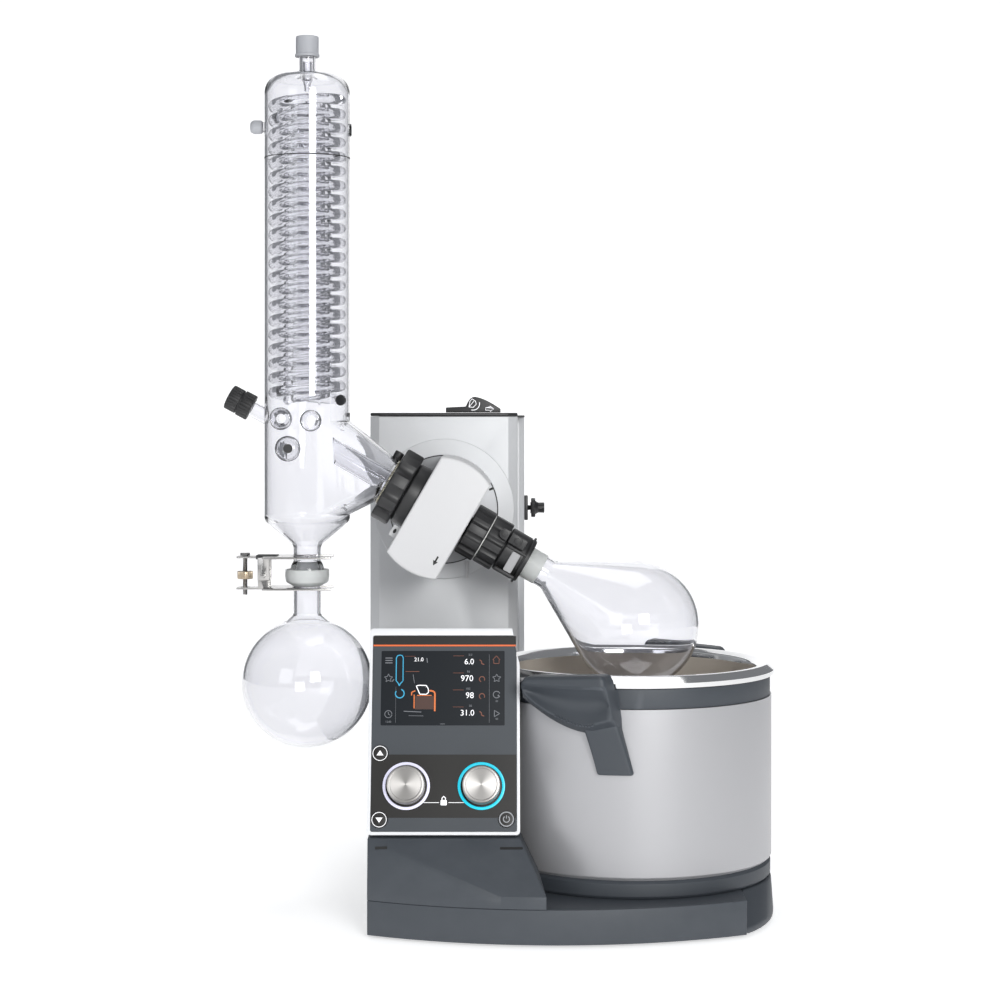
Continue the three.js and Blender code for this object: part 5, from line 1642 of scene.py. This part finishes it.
# ---- the heating bath ------------------------------------------------------------------
@dataclass
class Bath:
    """The round heating bath with its band, handles and polished lip."""

    radius: float = 145.0
    bottom: float = 54.0
    band_low: float = 220.0
    band_high: float = 239.7
    rim: float = 252.0
    bore: float = 128.8
    floor: float = 115.0
    handle_angle: float = math.radians(246)
    skin_limit: float = 149.0
    bow: float = 2.6
    underside: float = 228.0
    underside_drop: float = 31.0
    lowest_share: float = 0.75
    underside_lift: float = 28.0
    left_end: float = -47.0
    left_flare: float = 0.42
    leg_foot: float = 55.8
    leg_slant: float = 0.25
    leg_top: float = 200.0
    handle_slant: float = 0.13
    leg_bottom: float = 157.0
    leg_width: float = 33.5

    def build(self) -> None:
        """Makes the bath's pieces."""
        r = self.radius
        skin = fillet([(0, self.bottom), (r - 3, self.bottom, 0), (r, self.bottom + 3, 2),
                       (r, self.band_low - 0.3),
                       (r - 2.5, self.band_low - 0.3), (r - 2.5, self.bottom + 4),
                       (0, self.bottom + 4)], 4)
        place(lathe(skin, 160), "skin", BATH_SILVER, "bath", BATH, ["bath_skin"])
        foot = fillet([(100, 36.3), (r - 3, 36.3, 1.5), (r - 1, 39, 1.5), (r - 1, 51, 1),
                       (r - 4, 53.7),
                       (100, 53.7)], 4)
        place(lathe(foot, 160, closed=True), "foot_ring", SLATE, "bath", BATH, ["bath_base"])
        band = fillet([(137, self.band_low), (r - 1.4, self.band_low, 0.6),
                       (r - 1.4, self.band_high, 1),
                       (137, self.band_high)], 3)
        place(lathe(band, 160, closed=True), "band", SLATE, "bath", BATH, ["bath_band"])
        dressed("bath_heater", SPUN)
        self._pot()
        for name, turn in (("front", 0.0), ("rear", math.pi)):
            spot = BATH @ Matrix.Rotation(self.handle_angle + turn, 4, "Z")
            place(self._handle(), f"handle_{name}", SLATE, "bath", spot)
            place(self._leg(), f"handle_leg_{name}", SLATE, "bath", spot)

    def _pot(self) -> None:
        """The basin and its everted, polished lip."""
        b, w = self.bore, 2.2
        inside = [(0, self.floor + w), (b, self.floor + w, 16), (b, 243)]
        outside = [(b + w, 243), (b + w, self.floor, 18), (0, self.floor)]
        place(lathe(fillet(inside, 8) + fillet(outside, 8), 160), "basin", BASIN, "bath", BATH,
              ["bath_pot"])
        upper = fillet([(b, 243), (b + 0.6, 248, 4), (b + 8, self.rim, 6),
                        (140.5, self.rim - 0.4, 4),
                        (148, 245.2, 1.2)], 6)
        lower = fillet([(147.4, 240.6, 0.8), (143.5, 242.2, 2), (140, 243.2, 2), (b + w, 243)], 4)
        place(lathe(upper + lower, 160, closed=True), "polished_lip", LIP, "bath", BATH)

    def _low_at(self, t: float) -> float:
        """The height of the handle's underside at a share of its width."""
        fall = self.underside_drop * math.sin(math.pi / 2 * min(t / self.lowest_share, 1))
        return self.underside - fall + self.underside_lift * max(0.0, t - self.lowest_share)

    def _right_at(self, z: float) -> float:
        """Where the slanted right edge of handle and leg is at a height."""
        slant = self.leg_slant * (min(z, self.leg_top) - self.leg_bottom)
        return self.leg_foot - slant - self.handle_slant * max(0.0, z - self.leg_top)

    def _left_at(self, z: float) -> float:
        """Where the left edge of the handle is at a height."""
        return self.left_end - self.left_flare * max(0.0, 251 - max(z, self.underside))

    def _section(self, t: float) -> Profile:
        """The handle's cross section at a share of its width, as radius and height.

        Args:
            t: 0 at the left end and 1 at the right end.

        Returns:
            A closed outline that starts at the skin and runs along the underside.
        """
        end = max(0.0, abs(2 * t - 1) - 0.88) / 0.12
        drop = 1 - math.sqrt(1 - min(end, 1.0) ** 2)
        dish = 12.5 * (1 - abs(2 * t - 1) ** 9)
        low, top, reach = self._low_at(t), 251 + 5 * t - 4.5 * drop, 174.5 - 4 * drop
        ridge = reach - 9 - 2 * drop
        return fillet([(145.3, low + 7), (147.4, low, 1.5), (152, low, 2), (ridge, low + 9, 3),
                       (0.5 * (ridge + reach) - dish, 0.45 * (low + 9) + 0.55 * 240, 14),
                       (reach - 2.5, 242, 4),
                       (reach, 245.5, 2), (reach - 0.4, top - 2.6, 2), (reach - 3.4, top, 2),
                       (152.4, top, 3),
                       (149.3, 248.4, 1), (149.3, 240.2), (143.3, 239.2), (145.3, 229.6)], 5)

    def _handle(self) -> bmesh.types.BMesh:
        """The scooped grip, lofted across its width, with ribs under it.

        Returns:
            The grip as a mesh.
        """
        bm = bmesh.new()
        loops = []
        rim = [0, 0.008, 0.02, 0.035, 0.05]
        middle_shares = [0.07 + 0.86 * i / 16 for i in range(17)]
        for t in [*rim, *middle_shares, *(1 - share for share in reversed(rim))]:
            verts = []
            for r, h in self._section(t):
                y = self._left_at(h) + t * (self._right_at(h) - self._left_at(h))
                on_skin = r < self.skin_limit
                x = math.sqrt(r * r - y * y) if on_skin else r - self.bow * abs(y / 49) ** 3
                verts.append(bm.verts.new((x, y, h)))
            loops.append([bm.edges.new((verts[k],
                                        verts[(k + 1) % len(verts)])) for k in range(len(verts))])
        for first, second in zip(loops, loops[1:]):
            bmesh.ops.bridge_loops(bm, edges=first + second)
        for loop in (loops[0], loops[-1]):
            bmesh.ops.contextual_create(bm, geom=loop)
        bmesh.ops.recalc_face_normals(bm, faces=bm.faces)
        ribs = []
        for i in range(13):
            t = 0.4 + 0.032 * i
            y, low = -54 + t * 99, self._low_at(t)
            ribs.append(rod((157.5, y, low + 14.5), (165.8, y, low + 8.4), 1.1, 10))
        return merged(bm, *ribs)

    def _leg(self) -> bmesh.types.BMesh:
        """The slanted leg that lies on the skin under the right end of the handle.

        Returns:
            The leg as a mesh.
        """
        bm = bmesh.new()
        bmesh.ops.create_grid(bm, x_segments=12, y_segments=8, size=0.5)
        height = 50.0
        for v in bm.verts:
            u, t = v.co.x + 0.5, v.co.y + 0.5
            z = self.leg_bottom + height * t
            y = self._right_at(z) - self.leg_width * (1 - u)
            v.co = (math.sqrt((self.radius + 0.2) ** 2 - y * y), y, z)
        faces = list(bm.faces)
        grown = bmesh.ops.extrude_face_region(bm, geom=faces)["geom"]
        for v in (g for g in grown if isinstance(g, bmesh.types.BMVert)):
            v.co.x += 7 + 8 * ((v.co.z - self.leg_bottom) / height) ** 2
        bmesh.ops.recalc_face_normals(bm, faces=bm.faces)
        round_edges(bm, sharp_edges(bm, 50), 2.4, 3)
        return bm


@dataclass
class Studio:
    """The floor, backdrop, lights and camera."""

    lens: float = 77.76
    sensor: float = 36.0
    shift: float = -0.086
    camera_side: float = 0.0599
    camera_rise: float = 0.1017
    distance: float = 2.2248
    aim_height: float = 0.42
    surround: float = 0.24
    floor_glow: float = 0.56
    floor_drop: float = 0.0004
    floor_front: float = -3.6
    floor_half: float = 3.4
    wall_start: float = 2.2
    wall_at: float = 3.5
    wall_bend: float = 0.9
    wall_height: float = 4.2
    wall_half: float = 1.5

    def build(self) -> None:
        """Sets up everything that isn't part of the object."""
        scene = bpy.context.scene
        data = bpy.data.cameras.new("camera")
        data.lens, data.sensor_width, data.shift_y = self.lens, self.sensor, self.shift
        camera = bpy.data.objects.new("camera", data)
        camera.location = PIVOT + Vector((self.camera_side, -self.distance, self.camera_rise))
        camera.rotation_euler = (math.pi / 2, 0, 0)
        scene.collection.objects.link(camera)
        scene.camera = camera
        self._sweep()
        self._light("key", (0.75, -2.75, 1.0), 0.9, 42, (1.0, 1.0, 0.99))
        self._light("fill", (-1.7, -2.3, 1.0), 1.2, 9, (0.96, 0.98, 1.0))
        self._light("top", (0.1, 0.1, 2.6), 1.4, 12, (1, 1, 1))
        scene.view_settings.view_transform = "Standard"
        world = bpy.data.worlds.new("surround")
        world.use_nodes = True
        background = world.node_tree.nodes["Background"]
        background.inputs["Color"].default_value = (0.92, 0.95, 1.0, 1)
        background.inputs["Strength"].default_value = self.surround
        scene.world = world

    def _sweep(self) -> None:
        """A pale floor that curves up into the backdrop."""
        wall = fillet([(self.wall_start, 0.0), (self.wall_at, 0.0, self.wall_bend),
                       (self.wall_at, self.wall_height)], 20)
        ground = [(self.floor_front, 0.0), (self.wall_start, 0.0)]
        bm = bmesh.new()
        for points, half in ((ground, self.floor_half), (wall, self.wall_half)):
            verts = [bm.verts.new((-half, y, z - self.floor_drop)) for y, z in points]
            edges = [bm.edges.new(pair) for pair in zip(verts, verts[1:])]
            grown = bmesh.ops.extrude_edge_only(bm, edges=edges)["geom"]
            bmesh.ops.translate(bm, vec=(2 * half, 0, 0),
                                verts=[g for g in grown if isinstance(g, bmesh.types.BMVert)])
        bmesh.ops.recalc_face_normals(bm, faces=bm.faces)
        data = bpy.data.meshes.new("floor")
        bm.to_mesh(data)
        bm.free()
        data.shade_smooth()
        pale = bpy.data.materials.new("floor")
        pale.use_nodes = True
        shader = pale.node_tree.nodes["Principled BSDF"]
        shader.inputs["Base Color"].default_value = (0.92, 0.92, 0.925, 1)
        shader.inputs["Roughness"].default_value = 0.7
        shader.inputs["Emission Color"].default_value = (1, 1, 1, 1)
        shader.inputs["Emission Strength"].default_value = self.floor_glow
        data.materials.append(pale)
        floor = bpy.data.objects.new("floor", data)
        bpy.context.scene.collection.objects.link(floor)

    def _light(self, name: str, place_at: tuple[float, float, float], size: float, watts: float,
               color: tuple[float, float, float]) -> None:
        """One soft square light that looks at the object's middle.

        Args:
            name: the lamp's name.
            place_at: where it stands, in metres.
            size: the side of its square face, in metres.
            watts: its power.
            color: its colour.
        """
        data = bpy.data.lights.new(name, "AREA")
        data.size, data.energy, data.color = size, watts, color
        lamp = bpy.data.objects.new(name, data)
        lamp.location = place_at
        aim = Vector((0, 0, self.aim_height)) - Vector(place_at)
        lamp.rotation_euler = aim.to_track_quat("-Z", "Y").to_euler()
        bpy.context.scene.collection.objects.link(lamp)


def main() -> None:
    """Builds the studio and every sub-assembly."""
    grain_group()
    brushed_group()
    painted_sheen_fans_group()
    wear_group()
    Studio().build()
    for assembly in (Bench(), Panel(), Tower(), DriveHead(), Rotor(), Condenser(), Receiver(),
                     Bath()):
        assembly.build()


if __name__ == "__main__":
    logging.basicConfig(level=logging.INFO, format="%(message)s")
    main()
